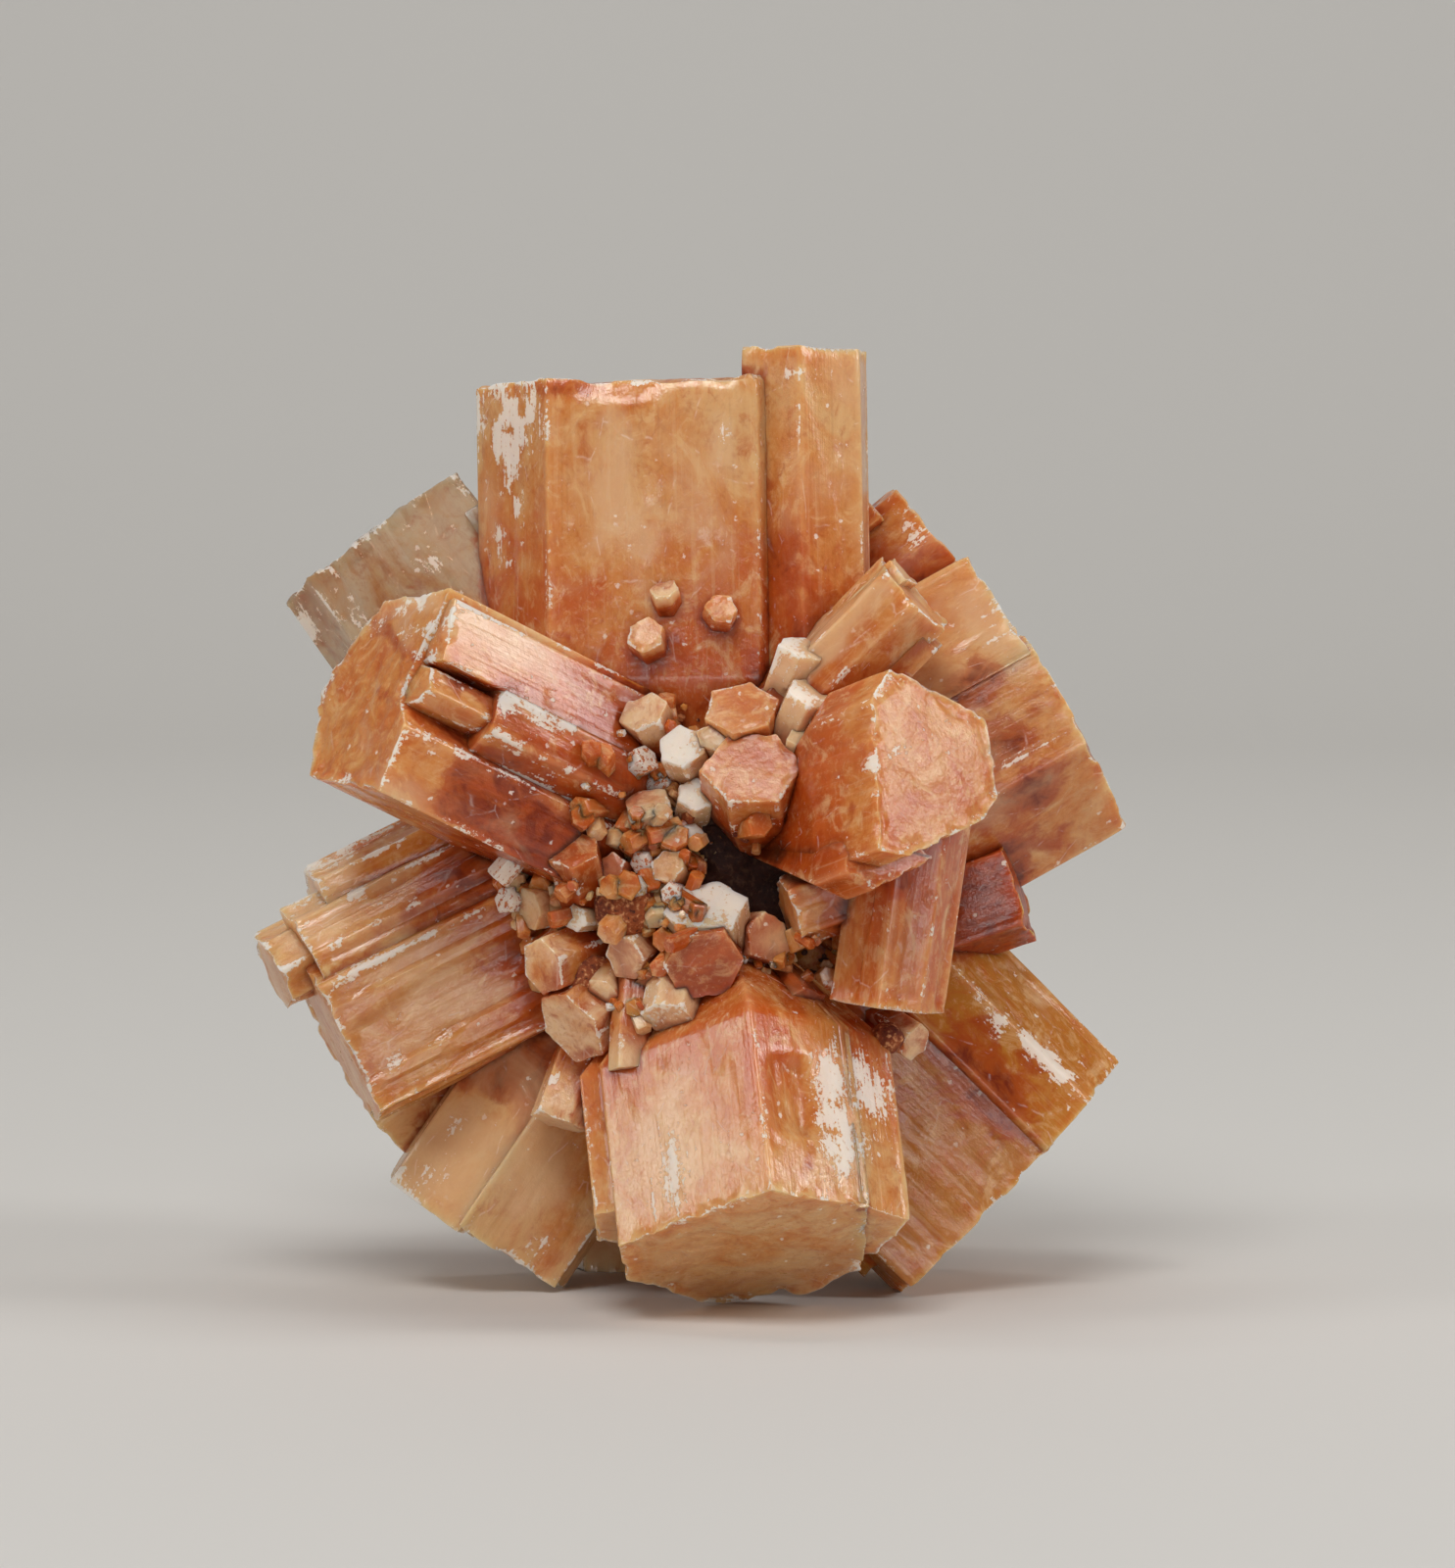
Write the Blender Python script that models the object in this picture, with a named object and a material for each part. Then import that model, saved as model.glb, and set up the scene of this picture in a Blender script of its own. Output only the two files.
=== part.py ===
# Aragonite cluster: flat-ended, six-sided crystals grown outwards from one heart, with a lumpy matrix
# and a druse of small crystals between them. One natural piece, so it is one closed solid.
# Sizes are in millimetres here and metres in the scene. X is to the right, -Y is the show side and
# +Z is up. The cluster stands at Z = 0 on the worn corners of its lowest crystals.
import math

import bmesh
import bpy
import numpy as np
from mathutils import Vector

mm = 0.001

# The heart that the crystals grow from, and the matrix lump round it.
heart = (0.9, 0.0, 19.5)
matrixRadius = 6.6
matrixRoughness = 0.7

# How far a crystal narrows towards its root, and how uneven a small crystal's faces are.
rootNarrowing = 0.42
smallNarrowing = 0.75
faceUnevenness = 0.09
seed = 7

# Faces that meet at less than this angle, in radians, are one flat face.
flatAngle = 0.0005

# The block of ground that wears the lowest corners flat.
groundWidth = 200.0
groundDepth = 50.0

# A big crystal is a bundle of parallel individuals. "end" is the middle of its end face. Its axis
# points along "clock", in degrees from +X towards +Z in the front view, and leans "toward" the
# show side by so many degrees. "reach" is its length to the root and "body" the length that keeps
# its full width. Each individual in "grown" has a lift along the axis and the corners of its end
# face: across (a quarter turn anticlockwise from the axis in the front view) and forward. "cuts"
# are chips and recesses: from and to along the axis, and corners.
bigCrystals = [
    dict(name="crown", end=(-2.1, 2.5, 43.0), clock=91, toward=-6, reach=24, body=14.5, grown=[
        (0.0, [(8.0, 0.4), (4.5, 6.2), (-5.4, 6.5), (-8.6, 0.5), (-5.0, -5.6), (4.2, -5.8)]),
        (1.2, [(-4.7, 5.0), (-7.4, 6.9), (-10.3, 5.4), (-10.7, 2.0), (-8.0, -0.6), (-4.9, 1.3)]),
        (-1.6, [(7.4, -0.8), (6.6, -5.0), (3.0, -8.2), (-1.6, -7.6), (-1.9, -1.5)]),
        (-3.4, [(-0.7, -3.1), (-1.3, -8.4), (-5.4, -9.3), (-9.2, -5.9), (-8.9, 0.4)]),
    ], cuts=[
        (-1.5, 0.5, [(3.4, 7.5), (2.9, 5.8), (-0.5, 5.6), (-0.9, 7.5)]),
        (-0.5, 0.5, [(-0.7, 7.5), (-0.7, 5.4), (-4.3, 5.7), (-4.8, 7.5)]),
        (-0.9, 0.5, [(8.6, 1.5), (7.4, 0.9), (6.8, 3.2), (7.6, 3.6)]),
    ]),
    dict(name="left shoulder", end=(-14.2, -10.0, 29.1), clock=151, toward=29, reach=21, body=12, grown=[
        (0.0, [(5.2, -2.0), (3.7, 4.6), (0.5, 3.8), (-0.6, 1.9), (-5.9, 1.2), (-3.6, -4.1), (1.7, -5.4)]),
        (-0.15, [(0.1, 2.0), (-0.6, 3.3), (-1.5, 3.9), (-2.4, 2.9), (-2.2, 1.2)]),
        (-0.3, [(-2.1, 1.4), (-2.9, 3.4), (-5.6, 1.5), (-4.0, -1.0)]),
        (-3.8, [(0.4, 3.4), (-1.0, 4.3), (-2.9, 3.5), (-3.5, 2.0), (-0.4, 1.0)]),
    ]),
    dict(name="left", end=(-17.3, -2.6, 13.3), clock=206, toward=11, reach=20, body=12, grown=[
        (0.0, [(5.8, 1.0), (5.1, 4.3), (-1.5, 4.7), (-3.0, 1.2), (-2.6, -3.4), (1.2, -5.6), (4.9, -3.6)]),
        (1.1, [(-1.2, 1.9), (-2.9, 2.8), (-4.4, 1.0), (-4.7, -2.9), (-3.2, -5.2), (-0.6, -4.2)]),
        (-0.4, [(-1.3, 4.2), (-3.0, 4.1), (-4.6, 2.3), (-5.4, 0.1), (-4.1, -1.2), (-1.2, 0.3)]),
        (-2.3, [(-4.2, 2.3), (-5.9, 1.6), (-6.6, -0.6), (-5.2, -4.1), (-1.4, -4.6)]),
    ]),
    dict(name="low left", end=(-10.2, -0.4, 2.8), clock=236, toward=1, reach=20, body=11, grown=[
        (0.0, [(5.2, 0.6), (4.7, 2.5), (-0.8, 4.3), (-1.5, -1.1), (0.7, -4.9), (4.2, -3.3)]),
        (0.25, [(-0.6, 4.1), (-4.6, 2.3), (-4.7, -2.1), (-1.1, -4.4), (1.1, -1.0)]),
    ]),
    dict(name="foot", end=(3.4, -11.9, 3.35), clock=-83, toward=31, reach=16, body=9.3, narrowing=0.25, grown=[
        (0.0, [(5.4, 3.0), (1.0, 6.6), (-6.4, 2.2), (-6.3, -1.9), (-2.6, -6.3), (1.9, -6.2), (4.6, -4.6)]),
        (-0.2, [(7.2, 0.7), (5.0, 3.4), (2.9, 2.9), (3.0, -2.6), (5.4, -3.3)]),
        (-2.1, [(-5.3, 1.9), (-7.4, 1.2), (-7.5, -1.9), (-5.4, -3.0)]),
    ], cuts=[
        (-7.4, -2.9, [(1.3, 7.2), (3.8, 5.3), (3.3, 4.1), (1.3, 5.8)]),
        (-3.0, 0.5, [(-0.6, -7.5), (0.9, -7.5), (0.2, -5.4)]),
    ]),
    dict(name="low right", end=(15.4, -0.2, 5.1), clock=-45, toward=0, reach=21, body=11, grown=[
        (0.0, [(2.9, 4.4), (-6.6, 4.5), (-7.6, 1.3), (-7.0, -3.7), (-1.2, -6.2), (4.2, -4.4)]),
        (-0.25, [(7.8, 0.3), (5.5, 3.5), (2.6, 4.7), (0.4, 2.1), (1.3, -3.9), (5.9, -4.1)]),
        (-1.7, [(-6.5, 3.4), (-8.1, 1.9), (-8.2, -1.6), (-5.7, -2.6)]),
    ]),
    dict(name="right", end=(17.4, 1.0, 28.5), clock=29, toward=-3, reach=20, body=12, grown=[
        (0.0, [(2.5, 4.9), (-2.7, 5.5), (-7.5, 1.3), (-6.9, -3.2), (-1.2, -5.8), (4.0, -4.5)]),
        (-0.35, [(7.6, 0.5), (2.3, 5.1), (0.7, 1.2), (1.6, -4.1), (6.2, -4.0)]),
    ]),
    dict(name="right shelf", end=(15.8, -1.2, 19.4), clock=19, toward=4, reach=15, body=7, grown=[
        (0.0, [(1.9, 2.3), (-1.7, 2.6), (-2.9, 0.2), (-1.4, -3.1), (2.6, -2.8)]),
    ]),
    dict(name="clear back left", end=(-14.7, 4.6, 35.7), clock=126, toward=-9, reach=22, body=12, grown=[
        (0.0, [(5.7, 0.5), (3.9, 3.2), (-1.6, 4.0), (-4.8, 2.0), (-4.5, -2.7), (0.6, -4.5), (4.9, -3.0)]),
        (-1.9, [(-3.9, 2.9), (-5.3, 2.6), (-5.9, 0.3), (-4.5, -1.1)]),
    ]),
    dict(name="back right cap", end=(11.4, 3.4, 36.3), clock=39, toward=-4, reach=19, body=11, grown=[
        (0.0, [(2.1, 0.4), (-0.6, 2.2), (-2.3, 1.7), (-2.8, -1.2), (0.1, -2.8), (2.2, -1.9)]),
        (-1.4, [(2.9, 0.1), (1.6, 1.6), (0.5, -0.8), (1.1, -3.0), (3.1, -2.2)]),
    ]),
    dict(name="slanting rod", end=(11.2, -6.6, 33.0), clock=45, toward=6, reach=9.4, body=9.0, grown=[
        (0.0, [(2.4, 1.8), (0.5, 2.6), (-1.5, 1.1), (-1.5, -1.3), (0.8, -2.6), (3.0, -1.0)]),
        (-0.9, [(-0.9, 1.6), (-2.0, 1.0), (-2.1, -0.8), (-0.8, -1.2)]),
        (0.35, [(2.7, 0.7), (1.5, 1.6), (0.8, -0.6), (2.5, -1.1)]),
    ]),
    dict(name="right front", end=(11.5, -13.5, 26.0), clock=26, toward=47, reach=13, body=4.6, narrowing=0.25, grown=[
        (0.0, [(4.9, -0.2), (4.0, 1.8), (-2.1, 5.4), (-3.1, 3.9), (-3.4, -1.5), (-2.7, -2.8), (0.7, -4.1)]),
        (-2.2, [(0.6, 3.2), (-2.5, 5.9), (-3.9, 4.5), (-4.0, 0.6)]),
    ]),
    dict(name="hanging rod", end=(9.3, -9.2, 14.3), clock=-98, toward=1, reach=12, body=11.5, grown=[
        (0.0, [(2.8, -0.3), (1.6, 2.2), (-0.5, 2.6), (-2.75, 0.5), (-1.6, -2.2), (1.4, -2.4)]),
    ]),
    dict(name="side plate", end=(4.7, -8.7, 18.6), clock=198, toward=12, reach=8, body=7.5, grown=[
        (0.0, [(1.7, 0.5), (1.0, 1.6), (-1.2, 1.7), (-1.9, 0.2), (-1.0, -1.5), (1.1, -1.4)]),
    ]),
    dict(name="hidden sliver", end=(-14.3, 2.4, 7.1), clock=222, toward=-4, reach=17, body=10, grown=[
        (0.0, [(1.6, 1.3), (-0.6, 1.9), (-1.9, 0.3), (-1.2, -1.8), (1.2, -1.6)]),
    ]),
]

# The same for the side that the cluster hides, where the crystals are smaller and more alike.
# across is the width over the corners, deep the width the other way, as a share of across.
backCrystals = [
    dict(name="back foot", end=(-1.8, 7.4, -0.4), clock=-90, toward=0, reach=16, across=9.4, deep=0.86, turn=12),
    dict(name="back crown", end=(3.4, 12.9, 34.4), clock=80, toward=-41, reach=20, across=9.8, deep=0.9, turn=20),
    dict(name="back crown twin", end=(-0.9, 11.2, 32.2), clock=96, toward=-43, reach=17, across=6.6, deep=0.8, turn=2),
    dict(name="back left high", end=(-12.0, 13.0, 27.6), clock=148, toward=-41, reach=20, across=9.2, deep=0.88, turn=8),
    dict(name="back left low", end=(-10.4, 12.4, 13.9), clock=206, toward=-46, reach=18, across=8.6, deep=0.85, turn=33),
    dict(name="back low left", end=(-7.6, 10.6, 5.4), clock=238, toward=-34, reach=18, across=7.0, deep=0.92, turn=16),
    dict(name="back low right", end=(9.7, 12.3, 6.6), clock=-56, toward=-37, reach=20, across=9.6, deep=0.84, turn=27),
    dict(name="back right", end=(14.2, 11.9, 21.4), clock=9, toward=-41, reach=19, across=9.2, deep=0.9, turn=14),
    dict(name="back right high", end=(11.3, 12.2, 31.2), clock=51, toward=-39, reach=20, across=7.4, deep=0.86, turn=5),
    dict(name="back middle", end=(0.3, 16.9, 17.0), clock=-104, toward=-80, reach=16, across=9.0, deep=0.88, turn=11),
    dict(name="back middle twin", end=(3.9, 15.7, 21.3), clock=34, toward=-71, reach=15, across=6.2, deep=0.9, turn=40),
    dict(name="back side low", end=(13.0, 11.0, 13.6), clock=-25, toward=-41, reach=18, across=6.6, deep=0.85, turn=21),
    dict(name="back top left", end=(-7.0, 9.4, 37.0), clock=114, toward=-26, reach=20, across=6.4, deep=0.9, turn=18),
]

# Small crystals of the druse: end face middle, clock, toward, width across corners, length.
frontDruse = [
    ((-1.0, -5.5, 33.6), 100, 40, 1.5, 2.0),
    ((1.7, -6.3, 32.7), 80, 66, 1.7, 2.5),
    ((-1.9, -6.3, 31.5), 110, 62, 2.0, 2.6),
    ((-2.0, -7.6, 28.0), 118, 50, 2.4, 4.5),
    ((1.3, -9.0, 26.9), 88, 68, 1.7, 5.0),
    ((-0.2, -8.8, 26.5), 112, 60, 2.5, 5.0),
    ((2.6, -8.6, 28.2), 96, 48, 3.8, 6.0),
    ((3.1, -10.2, 25.6), 97, 57, 4.8, 6.5),
    ((5.4, -7.8, 31.0), 72, 24, 2.4, 5.0),
    ((5.9, -8.8, 28.9), 66, 30, 2.6, 5.5),
    ((5.6, -9.4, 26.9), 78, 36, 1.9, 4.5),
    ((0.5, -8.5, 24.2), 80, 64, 1.9, 4.5),
    ((0.3, -8.0, 22.4), 60, 66, 1.2, 4.0),
    ((-1.8, -8.3, 23.9), 101, 33, 2.3, 5.0),
    ((-5.2, -8.9, 21.7), 101, 42, 2.7, 5.5),
    ((0.8, -9.4, 19.1), 96, 42, 4.1, 6.0),
    ((-5.2, -8.0, 18.4), 176, 60, 1.5, 4.0),
    ((0.9, -10.6, 16.5), -72, 76, 4.0, 6.0),
    ((3.9, -8.6, 17.5), 18, 62, 2.7, 5.0),
    ((-6.7, -8.1, 16.1), 196, 48, 3.1, 5.0),
    ((-2.9, -9.0, 16.6), 204, 62, 2.4, 4.5),
    ((-3.9, -8.5, 14.8), 232, 56, 1.8, 4.0),
    ((-5.4, -8.2, 13.3), 216, 44, 4.0, 5.5),
    ((-0.8, -10.5, 13.9), -104, 46, 2.6, 5.0),
    ((2.4, -9.9, 14.2), -62, 42, 2.2, 4.5),
    ((5.3, -8.6, 14.0), -42, 52, 3.0, 5.0),
    ((-2.5, -9.6, 11.3), -92, 20, 2.3, 4.5),
    ((-6.0, -5.9, 8.4), 250, 18, 3.0, 6.0),
    ((10.8, -6.2, 12.3), -28, 46, 2.0, 4.5),
    ((6.0, -8.4, 22.9), -20, 60, 2.2, 5.0),
    ((2.9, -8.0, 15.9), -30, 64, 2.2, 4.5),
    ((-0.9, -8.7, 20.9), 130, 66, 1.9, 4.5),
    ((-3.6, -8.2, 20.7), 140, 58, 1.8, 4.5),
    ((-1.6, -8.9, 15.1), 250, 62, 1.9, 4.5),
    ((0.6, -9.4, 13.2), -92, 40, 2.0, 4.5),
    ((-7.4, -6.4, 18.6), 186, 40, 2.2, 5.0),
    ((-7.6, -7.0, 23.8), 150, 52, 2.2, 5.0),
]
backDruse = [
    ((-4.0, 12.4, 22.6), 160, -52, 3.2, 6.0),
    ((-5.6, 12.6, 18.6), 190, -58, 2.6, 6.0),
    ((-3.6, 13.4, 12.6), 238, -56, 3.4, 6.5),
    ((3.6, 13.6, 11.4), -60, -58, 2.8, 6.0),
    ((5.4, 12.4, 16.4), -20, -60, 3.6, 6.5),
    ((7.6, 12.2, 25.4), 44, -52, 2.8, 6.0),
    ((1.2, 13.0, 26.8), 84, -58, 2.4, 5.5),
    ((-5.2, 11.4, 28.6), 122, -44, 2.8, 6.0),
    ((9.4, 10.6, 9.8), -44, -48, 2.4, 5.5),
    ((-9.6, 10.2, 21.2), 178, -40, 3.0, 6.0),
    ((2.8, 9.4, 4.6), -80, -34, 2.8, 6.0),
    ((-12.6, 4.8, 19.2), 180, -14, 3.6, 8.0),
    ((12.6, 6.4, 25.6), 20, -20, 3.0, 7.0),
    ((4.6, 6.4, 38.2), 74, -16, 3.2, 9.0),
]

# Clay-coated lumps of the matrix: middle and radius.
clayLumps = [
    ((-2.7, -7.9, 18.9), 1.5),
    ((-2.0, -9.0, 10.7), 1.3),
    ((9.4, -7.4, 12.7), 0.8),
    ((-4.6, -6.6, 15.0), 1.6),
    ((4.8, -6.4, 12.6), 1.7),
    ((-3.4, 11.0, 15.4), 1.8),
    ((6.0, 10.6, 13.0), 1.6),
    ((-6.4, 9.4, 24.4), 1.7),
    ((7.7, -8.5, 21.2), 1.1),
]


def crystalAxes(clock, toward):
    """Unit vectors along the crystal's axis, across it and forward, in the world."""
    turn = math.radians(clock)
    lean = math.radians(toward)
    along = Vector((math.cos(lean) * math.cos(turn), -math.sin(lean), math.cos(lean) * math.sin(turn)))
    across = Vector((-math.sin(turn), 0.0, math.cos(turn)))
    forward = across.cross(along)
    if forward.dot(Vector((-math.sin(lean) * math.cos(turn), -math.cos(lean), 0.0))) < 0:
        forward.negate()
    return along, across, forward


def sixSided(across, deep, turn, uneven):
    """Corners of a slightly uneven six-sided end face."""
    corners = []
    for corner in range(6):
        angle = math.radians(turn + 60 * corner)
        radius = across / 2 * (1 + uneven[corner])
        corners.append((radius * math.cos(angle), radius * math.sin(angle) * deep))
    return corners


def addCrystal(mesh, end, clock, toward, reach, body, narrowing, lift, corners):
    """A prism of full width for the body length, which then narrows to its root as a frustum."""
    along, across, forward = crystalAxes(clock, toward)
    middle = Vector(end)
    rings = []
    for depth, scale in ((lift, 1.0), (-body, 1.0), (-reach, narrowing)):
        ring = []
        for a, f in corners:
            place = middle + along * depth + (across * a + forward * f) * scale
            ring.append(mesh.verts.new(place * mm))
        rings.append(ring)
    faces = [mesh.faces.new(rings[0]), mesh.faces.new(list(reversed(rings[-1])))]
    for outer, inner in zip(rings[:-1], rings[1:]):
        for k in range(len(corners)):
            after = (k + 1) % len(corners)
            faces.append(mesh.faces.new((outer[k], inner[k], inner[after], outer[after])))
    bmesh.ops.recalc_face_normals(mesh, faces=faces)


def addCut(mesh, big, start, stop, corners):
    """A prism cutter along the crystal's axis, between two places measured from its end face."""
    along, across, forward = crystalAxes(big["clock"], big["toward"])
    middle = Vector(big["end"])
    rings = [[mesh.verts.new((middle + along * depth + across * a + forward * f) * mm) for a, f in corners]
             for depth in (stop, start)]
    faces = [mesh.faces.new(rings[0]), mesh.faces.new(list(reversed(rings[1])))]
    for k in range(len(corners)):
        after = (k + 1) % len(corners)
        faces.append(mesh.faces.new((rings[0][k], rings[1][k], rings[1][after], rings[0][after])))
    bmesh.ops.recalc_face_normals(mesh, faces=faces)


def addLump(mesh, middle, radius, roughness, detail, noise):
    """A closed, rounded lump whose surface is pushed in and out."""
    made = bmesh.ops.create_icosphere(mesh, subdivisions=detail, radius=1.0)
    for vert in made["verts"]:
        reach = radius + roughness * noise.uniform(-0.5, 0.5)
        vert.co = (Vector(middle) + vert.co * reach) * mm


def makeMaterial(name, colour, roughness):
    material = bpy.data.materials.new(name)
    material.use_nodes = True
    shader = material.node_tree.nodes["Principled BSDF"]
    shader.inputs["Base Color"].default_value = (*colour, 1.0)
    shader.inputs["Roughness"].default_value = roughness
    return material


def makeCrystals():
    """All crystals and lumps as overlapping closed bodies in one mesh."""
    noise = np.random.default_rng(seed)
    mesh = bmesh.new()
    addLump(mesh, heart, matrixRadius, matrixRoughness, 3, noise)
    for middle, radius in clayLumps:
        addLump(mesh, middle, radius, 0.25 * radius, 2, noise)
    for big in bigCrystals:
        for lift, corners in big["grown"]:
            addCrystal(mesh, big["end"], big["clock"], big["toward"], big["reach"], big["body"],
                       big.get("narrowing", rootNarrowing), lift, corners)
    for back in backCrystals:
        corners = sixSided(back["across"], back["deep"], back["turn"], noise.uniform(-0.06, 0.06, 6))
        addCrystal(mesh, back["end"], back["clock"], back["toward"], back["reach"], 0.6 * back["reach"],
                   rootNarrowing, 0.0, corners)
    for end, clock, toward, across, reach in frontDruse + backDruse:
        turn = noise.uniform(0, 60)
        uneven = noise.uniform(-faceUnevenness, faceUnevenness, 6)
        corners = sixSided(across, 0.9, turn, uneven)
        addCrystal(mesh, end, clock, toward, reach, 0.5 * reach, smallNarrowing, 0.0, corners)
    data = bpy.data.meshes.new("aragonite_cluster")
    mesh.to_mesh(data)
    mesh.free()
    return data


def makeCutter():
    """What is missing: the chips and recesses, and all below Z = 0, which wears the lowest corners flat."""
    mesh = bmesh.new()
    bmesh.ops.create_cube(mesh, size=1.0)
    for vert in mesh.verts:
        vert.co = Vector((vert.co.x * groundWidth, vert.co.y * groundWidth, (vert.co.z - 0.5) * groundDepth)) * mm
    for big in bigCrystals:
        for start, stop, corners in big.get("cuts", []):
            addCut(mesh, big, start, stop, corners)
    data = bpy.data.meshes.new("cutter")
    mesh.to_mesh(data)
    mesh.free()
    cutter = bpy.data.objects.new("cutter", data)
    cutter.hide_render = True
    cutter.display_type = "WIRE"
    bpy.context.scene.collection.objects.link(cutter)
    return cutter


def shellOf(start, taken):
    """All vertices that hang together with the first one."""
    shell = [start]
    taken.add(start)
    for vert in shell:
        for edge in vert.link_edges:
            other = edge.other_vert(vert)
            if other not in taken:
                taken.add(other)
                shell.append(other)
    return shell


def fillPockets(cluster):
    """Settles the Boolean, and fills the pockets sealed between crystals: only the outer skin stays."""
    depsgraph = bpy.context.evaluated_depsgraph_get()
    data = bpy.data.meshes.new_from_object(cluster.evaluated_get(depsgraph))
    mesh = bmesh.new()
    mesh.from_mesh(data)
    taken = set()
    shells = [shellOf(vert, taken) for vert in mesh.verts if vert not in taken]
    shells.sort(key=len)
    for pocket in shells[:-1]:
        bmesh.ops.delete(mesh, geom=pocket, context="VERTS")
    bmesh.ops.dissolve_limit(mesh, angle_limit=flatAngle, verts=mesh.verts, edges=mesh.edges)
    mesh.to_mesh(data)
    mesh.free()
    cluster.modifiers.clear()
    cluster.data = data


def makeCluster():
    cluster = bpy.data.objects.new("aragonite_cluster", makeCrystals())
    bpy.context.scene.collection.objects.link(cluster)
    cluster.data.materials.append(makeMaterial("orange_aragonite", (0.58, 0.26, 0.12), 0.35))
    union = cluster.modifiers.new("grown together, worn flat below", "BOOLEAN")
    union.operation = "DIFFERENCE"
    union.solver = "EXACT"
    union.use_self = True
    union.object = makeCutter()
    fillPockets(cluster)


for old in list(bpy.data.objects):
    bpy.data.objects.remove(old, do_unlink=True)
makeCluster()
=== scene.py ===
import math

import bpy
import numpy as np
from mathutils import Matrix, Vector
from mathutils.bvhtree import BVHTree


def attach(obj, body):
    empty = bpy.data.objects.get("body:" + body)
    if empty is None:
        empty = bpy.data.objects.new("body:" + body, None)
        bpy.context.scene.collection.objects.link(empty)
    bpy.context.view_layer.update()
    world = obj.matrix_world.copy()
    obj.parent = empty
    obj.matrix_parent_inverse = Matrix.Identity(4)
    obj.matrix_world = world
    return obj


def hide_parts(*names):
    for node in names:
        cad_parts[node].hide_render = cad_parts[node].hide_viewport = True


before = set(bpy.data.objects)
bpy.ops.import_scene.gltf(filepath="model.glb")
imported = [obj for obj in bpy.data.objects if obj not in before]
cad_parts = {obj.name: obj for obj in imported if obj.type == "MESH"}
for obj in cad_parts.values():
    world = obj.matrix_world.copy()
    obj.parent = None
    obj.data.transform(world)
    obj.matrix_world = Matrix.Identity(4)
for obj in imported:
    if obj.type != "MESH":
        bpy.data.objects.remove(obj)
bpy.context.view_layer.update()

mm = 0.001  # the cluster is measured in mm until buildPiece, the camera and the studio are in m
heart = np.array((0.9, 0.0, 19.5))  # where all crystals start
circle = 6.283  # the way round a circle of radius 1


# Camera: level with the cluster, looking down a little, as the picture was taken.
view = {"place": (0.00195, -0.366, 0.0528), "pitch": 4.5, "lens": 177.3, "sensor": 36.0, "nearest": 0.02}
cameraData = bpy.data.cameras.new("camera")
cameraData.lens = view["lens"]
cameraData.sensor_width = view["sensor"]
cameraData.clip_start = view["nearest"]
camera = bpy.data.objects.new("camera", cameraData)
camera.location = view["place"]
camera.rotation_euler = (math.radians(90 - view["pitch"]), 0, 0)
bpy.context.scene.collection.objects.link(camera)
bpy.context.scene.camera = camera
bpy.context.scene.view_settings.view_transform = "Standard"


# Numbers and noise

def hexToLinear(code):
    # sRGB hex to linear: each channel is c/12.92 below the toe and ((c+0.055)/1.055)^2.4 above it.
    channels = [int(code[i:i + 2], 16) / 255 for i in (1, 3, 5)]
    return tuple(c / 12.92 if c <= 0.04045 else ((c + 0.055) / 1.055) ** 2.4 for c in channels) + (1.0,)


def smooth(x):
    # Smoothstep: 3x^2 - 2x^3.
    return x * x * (3 - 2 * x)


def ramp(x, low, high):
    # 0 below low, 1 above high and a smoothstep between.
    return smooth(np.clip((x - low) / (high - low), 0, 1))


def hashed(x, y, z, salt):
    # A value from -1 to 1 for each whole-number lattice point: its coordinates times primes, bit-mixed.
    bits = 0xFFFFFFFF
    h = ((x * 73856093) ^ (y * 19349663) ^ (z * 83492791) ^ (salt * 2654435761)) & bits
    for shift, factor in ((15, 2246822519), (13, 3266489917)):
        h = ((h ^ (h >> shift)) * factor) & bits
    return ((h ^ (h >> 16)) & 0xFFFFFF) / 8388607.5 - 1


def noise(p, salt=0):
    # Value noise: lattice values blended with smoothstep weights along x, y and z. A point in 2D has z = 0.
    if p.shape[-1] == 2:
        p = np.concatenate([p, np.zeros(p.shape[:-1] + (1,))], -1)
    base = np.floor(p)
    f = smooth(p - base)
    x, y, z = (base[..., i].astype(np.int64) for i in range(3))
    weights = [(1 - f[..., i], f[..., i]) for i in range(3)]
    total = 0
    for a, b, c in np.ndindex(2, 2, 2):
        total = total + weights[0][a] * weights[1][b] * weights[2][c] * hashed(x + a, y + b, z + c, salt)
    return total


def cloud(p, octaves=3, salt=0):
    # A sum of noise, each octave twice as fine and half as strong as the one before.
    total, weight = 0, 0
    for k in range(octaves):
        total = total + noise(p * 2 ** k, salt + 17 * k) * 0.5 ** k
        weight += 0.5 ** k
    return total / weight


def mixed(p, salt, *waves):
    # Noises added: each has its strength, its waves per mm and the next salt.
    return sum(strength * noise(p * scale, salt + k) for k, (strength, scale) in enumerate(waves))


def stepped(x):
    # Terraces: whole steps of x with a short steep rise between them.
    rise = 0.9
    base = np.floor(x)
    return base + ramp(x - base, rise, 1.0)


# Crystals

def axesOf(clock, toward):
    # Axis, across and forward of a crystal: the axis turned by clock in XZ and leaned by toward to -Y.
    c, t = math.radians(clock), math.radians(toward)
    along = np.array((math.cos(t) * math.cos(c), -math.sin(t), math.cos(t) * math.sin(c)))
    across = np.array((-math.sin(c), 0, math.cos(c)))
    forward = np.array((-math.sin(t) * math.cos(c), -math.cos(t), -math.sin(t) * math.sin(c)))
    return along, across, forward


def unit(rows):
    # Each row divided by its length.
    return rows / np.linalg.norm(rows, axis=1)[:, None]


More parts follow.
